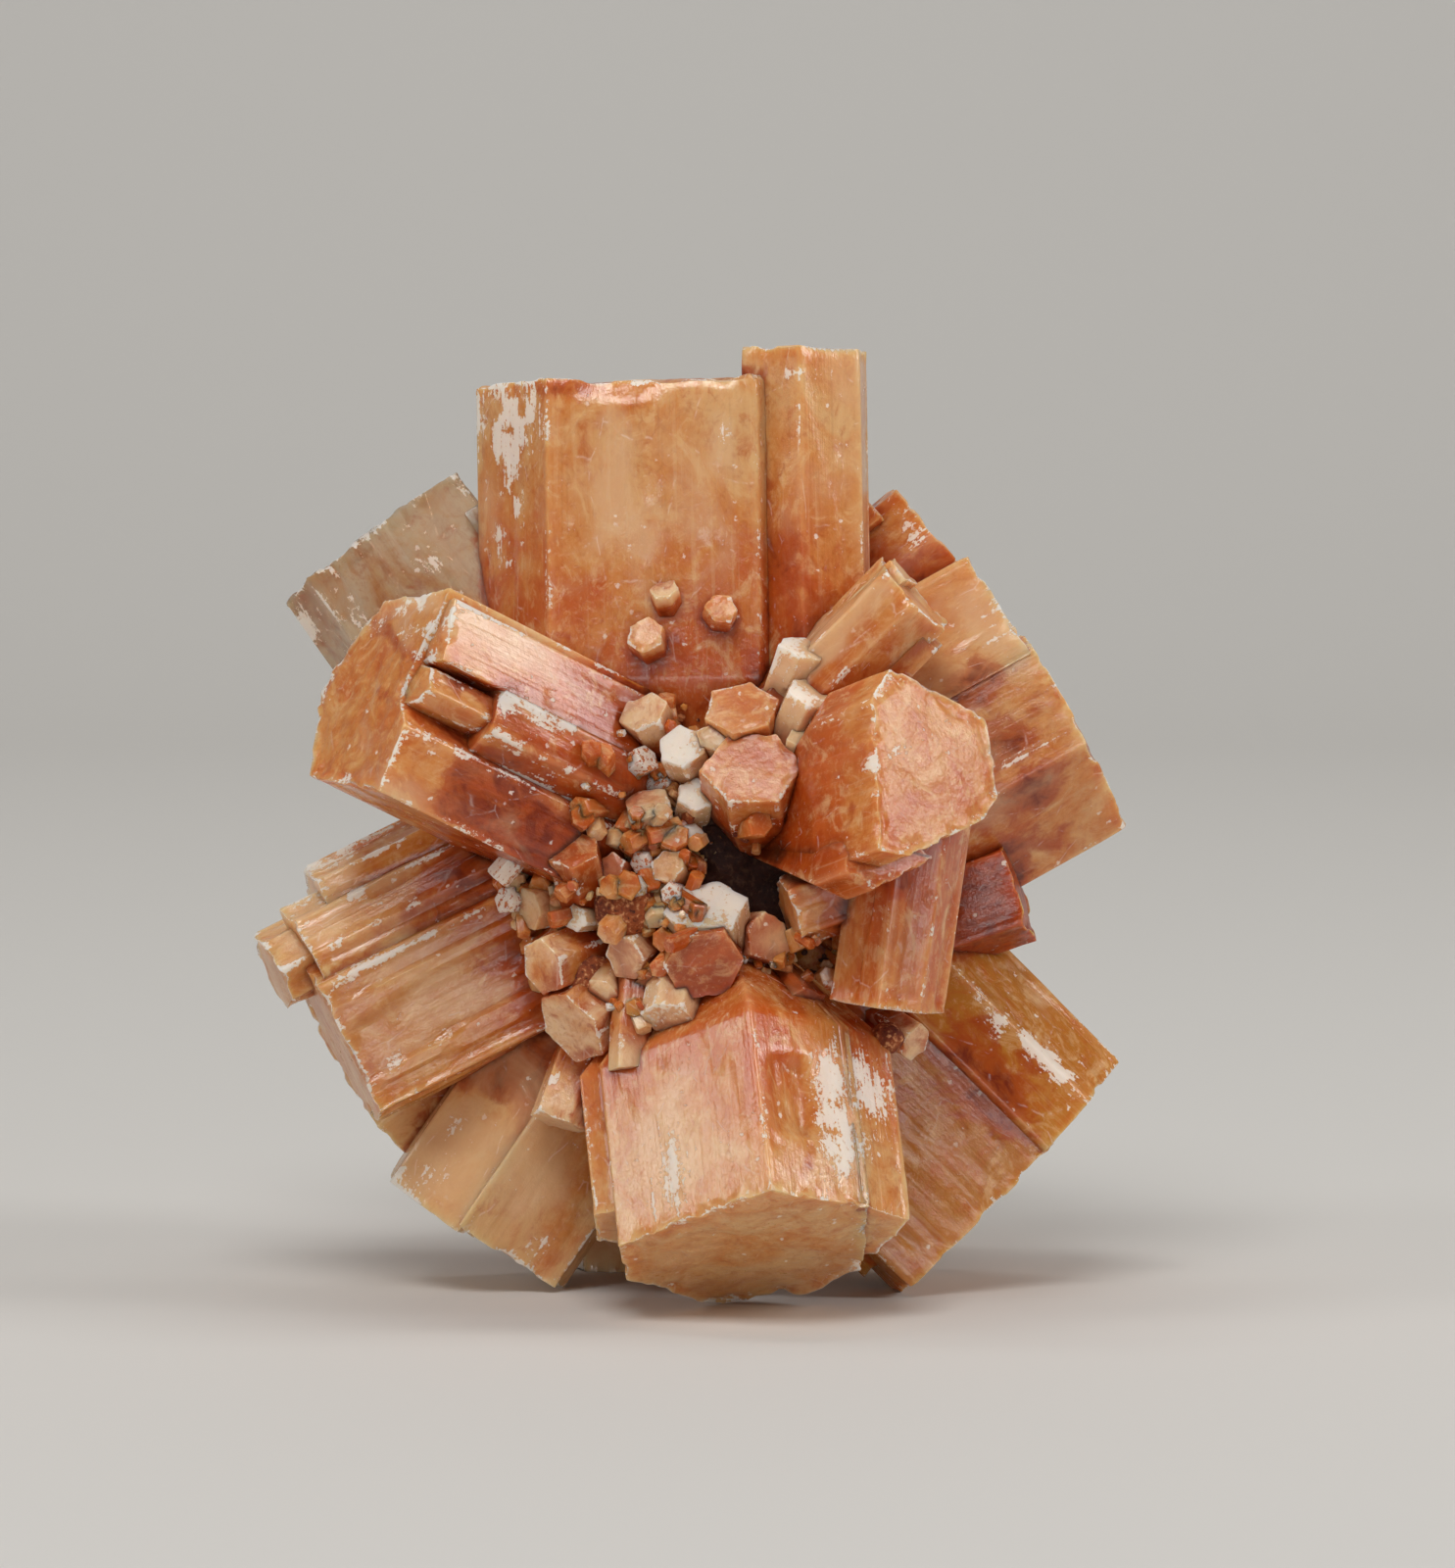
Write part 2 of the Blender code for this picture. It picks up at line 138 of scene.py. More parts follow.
def counterClockwise(corners):
    # The corners of a polygon as rows, in the order that has its inside on the left.
    c = np.array(corners, float)
    after = np.roll(c, -1, 0)
    return c[::-1] if np.sum(c[:, 0] * after[:, 1] - after[:, 0] * c[:, 1]) < 0 else c


def closedGrid(rows, turns):
    # Faces of a closed form: a pole, rows of turns points each, and the other pole, numbered in that order.
    index = 1 + np.arange(rows * turns).reshape(rows, turns)
    after = np.roll(index, -1, 1)
    quads = np.stack([index[:-1], index[1:], after[1:], after[:-1]], -1).reshape(-1, 4)
    last = np.full(turns, rows * turns + 1)
    fans = np.concatenate([np.stack([np.zeros(turns, int), index[0], after[0]], -1),
                           np.stack([last, after[-1], index[-1]], -1)])
    return quads, fans


def roundedOutline(corners, pitch, edgeRound):
    # A polygon walked corner by corner: each corner is a short quadratic arc, each side an even row.
    # Gives the points, their outward normals, the distance round and how near an edge each one is.
    arcPoints, edgeFade = 4, 0.22
    c = counterClockwise(corners)
    count = len(c)
    length = [np.linalg.norm(c[(k + 1) % count] - c[k]) for k in range(count)]
    cut = [min(edgeRound, 0.3 * length[k - 1], 0.3 * length[k]) for k in range(count)]
    points, edge = [], []
    for k in range(count):
        before, here, after = c[k - 1], c[k], c[(k + 1) % count]
        inward, outward = (before - here) / length[k - 1], (after - here) / length[k]
        start, stop = here + outward * cut[k], after - outward * cut[(k + 1) % count]
        t = np.linspace(0, 1, arcPoints)[:, None]
        points.append((1 - t) ** 2 * (here + inward * cut[k]) + 2 * t * (1 - t) * here + t ** 2 * start)
        edge.append(np.ones(arcPoints))
        straight = np.linalg.norm(stop - start)
        t = np.linspace(0, 1, max(2, int(round(straight / pitch))) + 1)[1:-1, None]
        points.append(start + (stop - start) * t)
        edge.append(np.exp(-np.minimum(t[:, 0], 1 - t[:, 0]) * straight / edgeFade))
    points = np.concatenate(points)
    tangent = unit(np.roll(points, -1, 0) - np.roll(points, 1, 0))
    normal = np.stack([tangent[:, 1], -tangent[:, 0]], 1)
    step = np.linalg.norm(points - np.roll(points, 1, 0), axis=1)
    return points, normal, np.cumsum(step), np.concatenate(edge)


def inside(points, shape):
    # Whether points, shaken by a cloud, lie in a convex polygon: on the same side of all its sides.
    c = counterClockwise(shape)
    side = np.roll(c, -1, 0) - c
    shake = 0.45 * np.stack([cloud(points * 1.2, 2, 90), cloud(points * 1.2 + 7, 2, 91)], -1)
    x, y = np.moveaxis(points + shake, -1, 0)
    return np.min([v * (y - b) - w * (x - a) for (v, w), (a, b) in zip(side, c)], 0) > 0


def hollow(outline, normal, shape):
    # How deep a cut is at each point of the outline: the way inwards until the point leaves the cut, evened.
    deepest, step = 1.6, 0.05
    deep = np.zeros(len(outline))
    for way in np.arange(0.0, deepest, step):
        deep = np.where(inside(outline - normal * way, shape), way + step, deep)
    return sum(np.roll(deep, k) for k in range(-3, 4)) / 7


def cutProfile(place, start, stop):
    # A chip at the rim slants in towards the end face; a recess further down has two sloping ends.
    slope = 0.7
    if stop > 0:
        return ramp(place, start, 0.0) ** slope
    return ramp(place, start, start + slope) * ramp(-place, -stop, -stop + slope)


usualNarrowing = 0.42  # width of the root's far end, as a share of the crystal's


def growCrystal(spec, look, lift, corners, salt):
    # One crystal as a closed grid: rings of its outline carried from the middle of the end face out to
    # the rim, down the sides and in to the root. Side relief = striae, which are noise of the distance
    # round the outline, + terraces, which are stepped noise drawn out along the axis, - pits - chips at
    # the rim, and less of it all at the edges. Then the cuts are taken out, and the rings narrow to the
    # root. The end face has its own stepped relief. Each noise has its own salt.
    along, across, forward = axesOf(spec["clock"], spec["toward"])
    pitch = look["pitch"]
    outline, normal, distance, edge = roundedOutline(corners, pitch, look["edgeRound"])
    count, around = len(outline), distance[-1]
    middle = outline.mean(0)
    size = np.linalg.norm(outline - middle, axis=1).max()
    narrowing = spec.get("narrowing", usualNarrowing)
    # side rings: even down the body, three times as far apart in the root
    straight, taper = spec["body"], spec["reach"] - spec["body"]
    body = np.arange(look["rim"], straight + lift, pitch * look["stretch"])
    root = np.linspace(straight + lift, spec["reach"] + lift, max(4, int(taper / (3 * pitch))))
    depth = np.concatenate([body, root])
    place = lift - depth
    inRoot = np.clip((-straight - place) / taper, 0, 1)
    scale = np.where(place > -straight, 1.0, 1 + (narrowing - 1) * inRoot)
    s, d = np.meshgrid(distance, depth)
    wrap = 2 * math.pi * s / around
    loop = np.stack([np.cos(wrap) * around / circle, np.sin(wrap) * around / circle, d], -1)
    striae = mixed(loop, salt, (0.6, (2.2, 2.2, 0.05)), (0.4, (5.0, 5.0, 0.1)), (0.7, (0.8, 0.8, 0.04)))
    strength = 0.5 + 0.5 * noise(loop * (0.3, 0.3, 0.15), salt + 3)
    plates = look["plates"]
    terrace = stepped(mixed(loop, salt + 4, (1.3, (plates, plates, 0.07)), (0.4, (1.4, 1.4, 0.16))))
    pits = ramp(noise(loop * (1.5, 1.5, 1.1), salt + 6), 0.68, 0.8)
    chips = ramp(cloud(loop * (1.3, 1.3, 1.1), 2, salt + 7) + 0.25, 0.1, 0.5)
    chips = chips * np.exp(-d / look["chipDepth"])
    relief = (look["striae"] * strength * (striae - 0.3) + look["terrace"] * (terrace - 0.4)
              - look["pits"] * pits)
    belowRim = 0.4 + 0.6 * ramp(d, 0.0, 0.8)
    relief = (relief * belowRim - look["chips"] * chips) * (1 - 0.5 * edge[None])
    recess, rimIn = np.zeros(s.shape), np.zeros(count)
    for start, stop, shape in spec.get("cuts", []) if lift == 0 else []:
        deep = hollow(outline, normal, shape)
        ragged = 0.8 + 0.5 * cloud(loop * 0.9, 3, salt + 14)
        recess = np.maximum(recess, deep * cutProfile(place, start, stop)[:, None] * ragged)
        rimIn = np.maximum(rimIn, deep * ragged[0]) if stop > 0 else rimIn
    sides = (outline[None] + normal[None] * (relief - recess)[..., None]) * scale[:, None, None]
    # end face rings, from near the middle to the rim
    rings = max(3, int(size / pitch))
    share = (np.arange(1, rings + 1) / rings) ** 0.9
    rimRing = outline - normal * (look["rim"] * 0.8 + look["chips"] * 0.6 * chips[0][:, None]
                                  + rimIn[:, None])
    faceRings = middle + (rimRing - middle)[None] * share[:, None, None]
    flat = np.stack([faceRings[..., 0], faceRings[..., 1], np.zeros(faceRings.shape[:2])], -1)
    bumps = (look["capRough"] * (cloud(flat * look["capGrain"], 3, salt + 8) - 0.5)
             + look["capWave"] * (cloud(flat * 0.22, 2, salt + 13) - 0.4)
             + look["capStep"] * (stepped(mixed(flat, salt + 9, (1.4, 0.3), (0.4, 1.1))) - 1.0))
    outer = share[:, None]
    rimDrop = look["chips"] * ramp(cloud(flat * (1.2, 1.2, 1), 2, salt + 11), -0.1, 0.6)
    rimDrop = rimDrop * ramp(outer, 0.75, 1.0)
    sink = 0.4 * rimIn[None]  # the rim lies lower where a cut opens it
    facePlace = lift + bumps * (1 - ramp(outer, 0.9, 1.0) * 0.5) - rimDrop - sink * ramp(outer, 0.6, 1.0)
    sidePlace = place[:, None] - sink * np.exp(-d / 0.4)
    # one grid
    height = np.concatenate([facePlace, sidePlace])
    height[rings] = np.minimum(height[rings], height[rings - 1] - 0.3 * look["rim"])
    local = np.concatenate([np.concatenate([faceRings, sides]), height[..., None]], -1)
    cap = np.concatenate([np.ones((rings, count)), np.zeros(s.shape)])
    rimFade = 0.25
    rimNear = np.concatenate([np.exp(-(1 - outer) * size / rimFade) * np.ones((1, count)),
                              np.exp(-d / rimFade)])
    sideEdge = np.concatenate([np.zeros((rings, count)), np.broadcast_to(edge, s.shape)])
    edgeNear = np.maximum(rimNear, sideEdge)
    frayed = np.concatenate([ramp(rimDrop, 0.02, 0.15), ramp(chips + 0.6 * pits + 0.5 * recess, 0.25, 0.7)])
    ends = np.array([[middle[0], middle[1], height[0].mean()],
                     [middle[0] * narrowing, middle[1] * narrowing, lift - spec["reach"]]])
    local = np.concatenate([ends[:1], local.reshape(-1, 3), ends[1:]])
    quads, fans = closedGrid(rings + len(depth), count)
    world = np.array(spec["end"]) + local[:, 2:] * along + local[:, :1] * across + local[:, 1:2] * forward
    pad = lambda grid, first, last: np.concatenate([[first], grid.ravel(), [last]])
    return {"world": world, "local": local, "quads": quads, "fans": fans,
            "cap": pad(cap, 1, 0), "edge": pad(edgeNear, 0, 0), "frayed": pad(frayed, 0, 0), "salt": salt}


def planesOf(spec, lift, corners):
    # The flat sides of a crystal as rows (normal, offset): n.p - offset is the distance outside each.
    along, across, forward = axesOf(spec["clock"], spec["toward"])
    end = np.array(spec["end"])
    c = counterClockwise(corners)
    side = unit(np.roll(c, -1, 0) - c)
    out = np.stack([side[:, 1], -side[:, 0]], 1)
    reachOut = np.sum(out * c, 1)
    normals = out[:, :1] * across + out[:, 1:] * forward
    narrowing = spec.get("narrowing", usualNarrowing)
    slope = reachOut * (1 - narrowing) / (spec["reach"] - spec["body"])
    tilted = normals - slope[:, None] * along
    length = np.linalg.norm(tilted, axis=1)
    tiltedOffset = reachOut + slope * spec["body"]
    rows = [np.append(along, lift)]
    rows += [np.append(n, r) for n, r in zip(normals, reachOut)]
    rows += [np.append(n / k, r / k) for n, r, k in zip(tilted, tiltedOffset, length)]
    rows = np.array(rows)
    rows[:, 3] += rows[:, :3] @ end
    return rows


def crevice(grown, own, lift, solids):
    # Closeness to the nearest neighbour: exp(-distance / creviceFade), where the distance to a neighbour
    # is the largest of its signed distances to the planes of its sides. The joints between the members
    # of one crystal fade sooner.
    creviceFade, jointFade, jointStrength, far = 0.6, 0.22, 0.75, 9.0
    p = grown["world"]
    centre, radius = p.mean(0), np.linalg.norm(p - p.mean(0), axis=1).max()
    nearest, beside = np.full(len(p), far), np.full(len(p), far)
    for name, height, rows, middle, span, faint in solids:
        if (name == own and height == lift) or np.linalg.norm(middle - centre) > radius + span + 2:
            continue
        gap = np.max([p @ row[:3] - row[3] for row in rows], 0)
        if name == own:
            beside = np.minimum(beside, gap)
        else:
            nearest = np.minimum(nearest, gap * faint)
    return np.maximum(np.exp(-np.clip(nearest, 0, far) / creviceFade),
                      jointStrength * np.exp(-np.clip(beside, 0, far) / jointFade))


def stainsOf(grown, spec, look, near):
    # Three masks from 0 to 1: rust, pale and frost. Each is a level, plus clouds drawn out along the
    # axis, plus the marks of this crystal, which are soft spots with noisy borders: kind, place across and
    # along, width, length, strength. Rust also gathers in crevices and at the root, frost at worn edges
    # and chips, but not in crevices.
    local, p = grown["local"], grown["world"]
    salt = grown["salt"]
    drawn = cloud(local * (0.33, 0.33, 0.22), 3, salt + 20)
    fine = cloud(p * 1.1, 3, salt + 21)
    deep = ramp(-local[:, 2], 0.35 * spec["body"], 1.1 * spec["body"])
    rust = look["rust"] + 0.5 * drawn + 0.2 * fine + look["rootRust"] * deep + 0.75 * near
    pale = look["pale"] + 0.6 * cloud(local * (0.3, 0.3, 0.18), 3, salt + 22) + 0.15 * fine - 0.3 * deep
    frost = look["frost"] * (0.9 * grown["edge"] * ramp(fine, -0.25, 0.35) + 0.8 * grown["frayed"])
    frost = frost + look["milky"] * (0.35 + 0.65 * grown["cap"])
    wander = np.stack([cloud(p * 0.6, 4, salt + 23), cloud(p * 0.6, 4, salt + 24)], 1)
    for kind, a, l, wide, long, strength in look.get("marks", []):
        ua = (local[:, 0] - a) / wide + 0.9 * wander[:, 0]
        ul = (local[:, 2] - l) / long + 0.9 * wander[:, 1]
        spot = strength * np.exp(-(ua ** 2 + ul ** 2))
        if kind == "rust":
            rust = rust + spot
        elif kind == "pale":
            pale, rust = pale + spot, rust - spot
        elif kind == "white":
            frost, rust = frost + spot * ramp(fine, -0.8, 0.0), rust - spot
        else:
            frost = frost + spot * ramp(fine, -0.3, 0.3)
    frost = frost * (1 - 0.9 * np.minimum(near, 1))
    return np.clip(np.stack([rust, pale, frost], 1), 0, 1)


sharpAngle = 38  # degrees between two faces from which their edge is hard


def buildPiece(name, parts, material):
    # Joins grown crystals or lumps into one mesh and writes their masks as attributes.
    world, quads, fans, start = [], [], [], 0
    for part in parts:
        world.append(part["world"])
        quads.append(part["quads"] + start)
        fans.append(part["fans"] + start)
        start += len(part["world"])
    world, quads, fans = np.concatenate(world), np.concatenate(quads), np.concatenate(fans)
    mesh = bpy.data.meshes.new(name)
    mesh.vertices.add(len(world))
    mesh.vertices.foreach_set("co", (world * mm).ravel())
    loops = np.concatenate([quads.ravel(), fans.ravel()])
    starts = np.concatenate([np.arange(len(quads)) * 4, len(quads) * 4 + np.arange(len(fans)) * 3])
    mesh.loops.add(len(loops))
    mesh.loops.foreach_set("vertex_index", loops)
    mesh.polygons.add(len(starts))
    mesh.polygons.foreach_set("loop_start", starts)
    mesh.update(calc_edges=True)
    mesh.validate()
    mesh.shade_smooth()
    mesh.set_sharp_from_angle(angle=math.radians(sharpAngle))
    for key in ("grain", "stain", "wearAndShade", "tint"):
        values = np.concatenate([part[key] for part in parts])
        layer = mesh.attributes.new(key, "FLOAT_VECTOR", "POINT")
        layer.data.foreach_set("vector", values.astype(np.float32).ravel())
    mesh.materials.append(material)
    piece = bpy.data.objects.new(name, mesh)
    bpy.context.scene.collection.objects.link(piece)
    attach(piece, "root")
    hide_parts("aragonite_cluster")
    print(name, 2 * len(quads) + len(fans), "triangles")


# Materials

def addNode(tree, kind, settings=None, links=None):
    # Adds a node, sets its properties or sockets and links its inputs. A source that is None isn't linked.
    node = tree.nodes.new(kind)
    for key, value in (settings or {}).items():
        if isinstance(key, str) and hasattr(node, key):
            setattr(node, key, value)
        else:
            node.inputs[key].default_value = value
    for key, source in (links or {}).items():
        if source is not None:
            tree.links.new(source, node.inputs[key])
    return node


def startMaterial(name):
    material = bpy.data.materials.new(name)
    material.use_nodes = True
    tree = material.node_tree
    tree.nodes.clear()
    return material, tree


def overlaid(tree, read, base, rows):
    # Tones laid over a base colour in order, each at its strength where the value it reads goes from low
    # to high.
    colour = None
    for key, low, high, strength, tone in rows:
        mask = addNode(tree, "ShaderNodeMapRange", {
            "interpolation_type": "SMOOTHSTEP", 1: low, 2: high, 3: 0.0, 4: strength},
            {0: read[key]}).outputs[0]
        colour = addNode(tree, "ShaderNodeMix", {
            "data_type": "RGBA", 6: hexToLinear(base), 7: hexToLinear(tone)},
            {0: mask, 6: colour}).outputs[2]
    return colour


def crystalMaterial(name, body, glow, depth, clear, gloss):
    # Iron-stained aragonite: cream to orange calcium carbonate, deep red where the iron sits, milky where
    # it is full of tiny cracks. Light goes in and scatters, so its colours are soft clouds under a gloss.
    # Colour = body, then over it honey to amber by warmth (which holds a painted glow towards the free end),
    # smoke, blots, mottling, hairlines, the edge tone (partly chipping, partly a painted highlight), rust,
    # pale clouds, frost (in places partly a painted highlight), clay and painted shade in crevices and near
    # the heart.
    # Roughness = gloss + frost, grains, clay and the end face. Relief = hairlines, grains, mottling and
    # frost, with nicks cut in.
    material, tree = startMaterial(name)
    read = {}
    for key, names in (("grain", ()), ("stain", ("rustLevel", "paleLevel", "frostLevel")),
                       ("wearAndShade", ("edge", "clayAndShade", "endFace")), ("tint", ("warmthLevel", "golden"))):
        read[key] = addNode(tree, "ShaderNodeAttribute", {"attribute_name": key}).outputs["Vector"]
        split = addNode(tree, "ShaderNodeSeparateXYZ", links={0: read[key]})
        read.update({part: split.outputs[k] for k, part in enumerate(names)})

    # noise of the local place in mm: waves per mm (across, across, along), detail, roughness and distortion
    for key, scale, detail, roughness, distortion in (
            ("wide", (0.26, 0.26, 0.2), 6.0, 0.62, 1.1),  # smoky clouds of 4 mm
            ("smoke", (0.5, 0.5, 0.36), 6.0, 0.7, 1.6),  # smoke of 2 mm
            ("blot", (0.9, 0.9, 0.75), 6.0, 0.65, 0.8),  # blots of 1 mm
            ("mottle", (2.2, 2.2, 1.7), 4.0, 0.7, 0.4),  # mottling of 0.4 mm
            ("line", (4.5, 4.5, 0.12), 2.0, 0.5, 0.0),  # hairlines 0.2 mm wide
            ("speck", (5.5, 5.5, 4.5), 3.0, 0.65, 0.0)):  # grains of 0.2 mm
        place = addNode(tree, "ShaderNodeMapping", {"Scale": scale}, {0: read["grain"]}).outputs[0]
        read[key] = addNode(tree, "ShaderNodeTexNoise", {
            "Scale": 1.0, "Detail": detail, "Roughness": roughness, "Distortion": distortion},
            {0: place}).outputs[0]

    # each level of the vertices roughened by a noise: noise * strength + level
    for key, level, noiseKey, strength in (
            ("warmth", "warmthLevel", "wide", 2.2), ("rust", "rustLevel", "blot", 1.4),
            ("pale", "paleLevel", "wide", 1.4), ("frostRough", "frostLevel", "speck", 1.7),
            ("frostFibres", "frostRough", "line", 1.3), ("clay", "clayAndShade", "blot", 2.0)):
        read[key] = addNode(tree, "ShaderNodeMath", {"operation": "MULTIPLY_ADD", 1: strength},
                            {0: read[noiseKey], 2: read[level]}).outputs[0]

    # healed cracks are the borders of large stretched cells; nicks are the middles of some small cells
    crackPlace = addNode(tree, "ShaderNodeMapping", {"Scale": (0.34, 0.34, 0.2)},
                         {0: read["grain"]}).outputs[0]
    bend = addNode(tree, "ShaderNodeTexNoise", {"Scale": 1.2, "Detail": 3.0}, {0: crackPlace}).outputs[1]
    crackPlace = addNode(tree, "ShaderNodeVectorMath", {"operation": "MULTIPLY_ADD", 1: (0.3, 0.3, 0.3)},
                         {0: bend, 2: crackPlace}).outputs[0]
    read["crackEdge"] = addNode(tree, "ShaderNodeTexVoronoi", {"feature": "DISTANCE_TO_EDGE", "Scale": 1.0},
                                {0: crackPlace}).outputs[0]
    ragged = addNode(tree, "ShaderNodeTexNoise", {"Scale": 5.0, "Detail": 2.0},
                     {0: read["grain"]}).outputs[1]
    nickPlace = addNode(tree, "ShaderNodeVectorMath", {"operation": "MULTIPLY_ADD", 1: (0.35, 0.35, 0.35)},
                        {0: ragged, 2: read["grain"]}).outputs[0]
    cells = addNode(tree, "ShaderNodeTexVoronoi", {"Scale": 1.6}, {0: nickPlace})
    read["cellMiddle"] = cells.outputs["Distance"]
    read["cellNumber"] = addNode(tree, "ShaderNodeSeparateXYZ", links={0: cells.outputs["Color"]}).outputs[0]
    for key, source, low, high, bottom, top in (
            ("crackLine", "crackEdge", 0.022, 0.0, 0.0, 0.35), ("crackPart", "blot", 0.48, 0.6, 0.0, 1.0),
            ("nickMiddle", "cellMiddle", 0.24, 0.12, 0.0, 0.75),
            ("nickPart", "cellNumber", 0.75, 0.95, 0.0, 1.0),
            ("frostOnly", "frostFibres", 2.0, 2.25, 0.0, 1.0)):
        read[key] = addNode(tree, "ShaderNodeMapRange", {
            "interpolation_type": "SMOOTHSTEP", 1: low, 2: high, 3: bottom, 4: top},
            {0: read[source]}).outputs[0]
    for key, operation, first, second in (
            ("crack", "MULTIPLY", "crackLine", "crackPart"), ("nick", "MULTIPLY", "nickMiddle", "nickPart"),
            ("crackOrNick", "MAXIMUM", "crack", "nick"), ("frost", "MAXIMUM", "frostOnly", "crackOrNick")):
        read[key] = addNode(tree, "ShaderNodeMath", {"operation": operation},
                            {0: read[first], 1: read[second]}).outputs[0]

    colour = overlaid(tree, read, body, (
        ("warmth", 0.9, 1.55, 1.0, "#d68c48"), ("warmth", 1.4, 2.0, 1.0, "#c66024"),
        ("warmth", 1.95, 2.5, 1.0, "#a5450f"), ("golden", 0.0, 1.0, 0.9, "#c07c26"),
        ("smoke", 0.5, 0.68, 0.55, "#c2601e"), ("smoke", 0.48, 0.34, 0.55, "#e9c08a"),
        ("blot", 0.53, 0.72, 0.4, "#ba5618"), ("mottle", 0.54, 0.7, 0.3, "#b05216"),
        ("mottle", 0.48, 0.32, 0.4, "#e4b278"), ("line", 0.58, 0.72, 0.12, "#9c4a16"),
        # The edge tone lightens along the edges: partly fine chipping, partly a painted highlight.
        ("line", 0.42, 0.3, 0.2, "#e8c492"), ("edge", 0.0, 1.0, 0.15, "#e8c090"),
        ("rust", 1.08, 1.5, 0.75, "#ad4008"), ("rust", 1.5, 1.95, 0.8, "#701a03"),
        ("pale", 1.05, 1.7, 0.7, "#e8c093"), ("frost", 0.0, 1.0, 0.85, "#f7ebde"),
        # The near-black last tone is painted shade in crevices and towards the heart; the clay tone before
        # it is real clay.
        ("clay", 1.7, 2.15, 0.8, "#86330f"), ("clayAndShade", 0.55, 1.0, 0.65, "#2e0904")))

    # roughness and relief are sums: each step adds a mask times a strength
    sums, starts = {"rough": None, "height": None}, {"rough": gloss, "height": 0.0}
    for key, part, strength in (
            ("rough", "frost", 0.3), ("rough", "speck", 0.1), ("rough", "clay", 0.06),
            ("rough", "endFace", 0.12), ("height", "line", 0.45), ("height", "speck", 0.35),
            ("height", "mottle", 0.5), ("height", "nick", -0.5), ("height", "frostOnly", 0.9)):
        sums[key] = addNode(tree, "ShaderNodeMath", {
            "operation": "MULTIPLY_ADD", 1: strength, 2: starts[key]},
            {0: read[part], 2: sums[key]}).outputs[0]
    bump = addNode(tree, "ShaderNodeBump", {"Strength": 0.5, "Distance": 0.00009},
                   {"Height": sums["height"]}).outputs[0]

    shader = addNode(tree, "ShaderNodeBsdfPrincipled", {
        "IOR": 1.6, "Specular IOR Level": 0.45, "Subsurface Weight": glow, "Subsurface Scale": depth,
        "Subsurface Radius": (1.0, 0.85, 0.7)},
        {"Base Color": colour, "Roughness": sums["rough"], "Normal": bump})
    if clear:
        # see-through where it is neither stained nor frosted
        stained = addNode(tree, "ShaderNodeMapRange", {"interpolation_type": "SMOOTHSTEP", 1: 1.2, 2: 1.8},
                          {0: read["rust"]}).outputs[0]
        opaque = addNode(tree, "ShaderNodeMath", {"operation": "MAXIMUM"},
                         {0: stained, 1: read["frost"]}).outputs[0]
        seen = addNode(tree, "ShaderNodeMapRange", {3: clear, 4: 0.05}, {0: opaque}).outputs[0]
        tree.links.new(seen, shader.inputs["Transmission Weight"])
    addNode(tree, "ShaderNodeOutputMaterial", links={0: shader.outputs[0]})
    return material


def clayMaterial(name):
    # Iron clay and fine matrix: dull red-brown earth with paler grains, which sits in the crevices.
    # Colour = dark, then over it lighter blotches, each crumb's own lightness, pale grains, dark grains
    # and painted shade near the heart.
    material, tree = startMaterial(name)
    place = addNode(tree, "ShaderNodeTexCoord").outputs["Object"]
    read = {}
    for key, scale, detail, roughness in (("blot", 500.0, 5.0, 0.65), ("grit", 4000.0, 3.0, 0.6)):
        read[key] = addNode(tree, "ShaderNodeTexNoise", {
            "Scale": scale, "Detail": detail, "Roughness": roughness}, {0: place}).outputs[0]
    for key, attribute, part in (("light", "tint", 0), ("deep", "wearAndShade", 1)):
        values = addNode(tree, "ShaderNodeAttribute", {"attribute_name": attribute}).outputs["Vector"]
        read[key] = addNode(tree, "ShaderNodeSeparateXYZ", links={0: values}).outputs[part]
    colour = overlaid(tree, read, "#5f1e09", (
        ("blot", 0.35, 0.65, 1.0, "#a04e20"), ("light", 0.35, 1.0, 0.8, "#cc8048"),
        ("grit", 0.52, 0.7, 1.0, "#d89a68"), ("grit", 0.45, 0.25, 1.0, "#360e05"),
        # The last tone is painted shade, darker towards the heart.
        ("deep", 0.1, 1.0, 0.9, "#1d0502")))
    bump = addNode(tree, "ShaderNodeBump", {"Strength": 0.8, "Distance": 0.00015},
                   {"Height": read["grit"]}).outputs[0]
    shader = addNode(tree, "ShaderNodeBsdfPrincipled", {
        "Roughness": 0.8, "Subsurface Weight": 0.15, "Subsurface Scale": 0.0006,
        "Subsurface Radius": (1.0, 0.4, 0.2)}, {"Base Color": colour, "Normal": bump})
    addNode(tree, "ShaderNodeOutputMaterial", links={0: shader.outputs[0]})
    return material


# How a crystal looks unless its own look says otherwise: pitch of the grid, rounding of edges and rim,
# depths of the relief of sides and rim, then of the end face (cap), levels of stains and clouds. Plates is
# the terraces round the outline per mm.
usual = {
    "pitch": 0.22, "edgeRound": 0.14, "rim": 0.07, "stretch": 1.5, "striae": 0.022, "terrace": 0.05,
    "pits": 0.08, "chips": 0.2, "chipDepth": 0.5, "capRough": 0.035, "capGrain": 1.6, "capStep": 0.03,
    "capWave": 0.15, "rust": 0.2, "pale": 0.3, "frost": 0.5, "rootRust": 0.45, "warmth": 0.5,
    "milky": 0.0, "golden": 0.0, "clayAndShade": 0.5, "plates": 0.5}

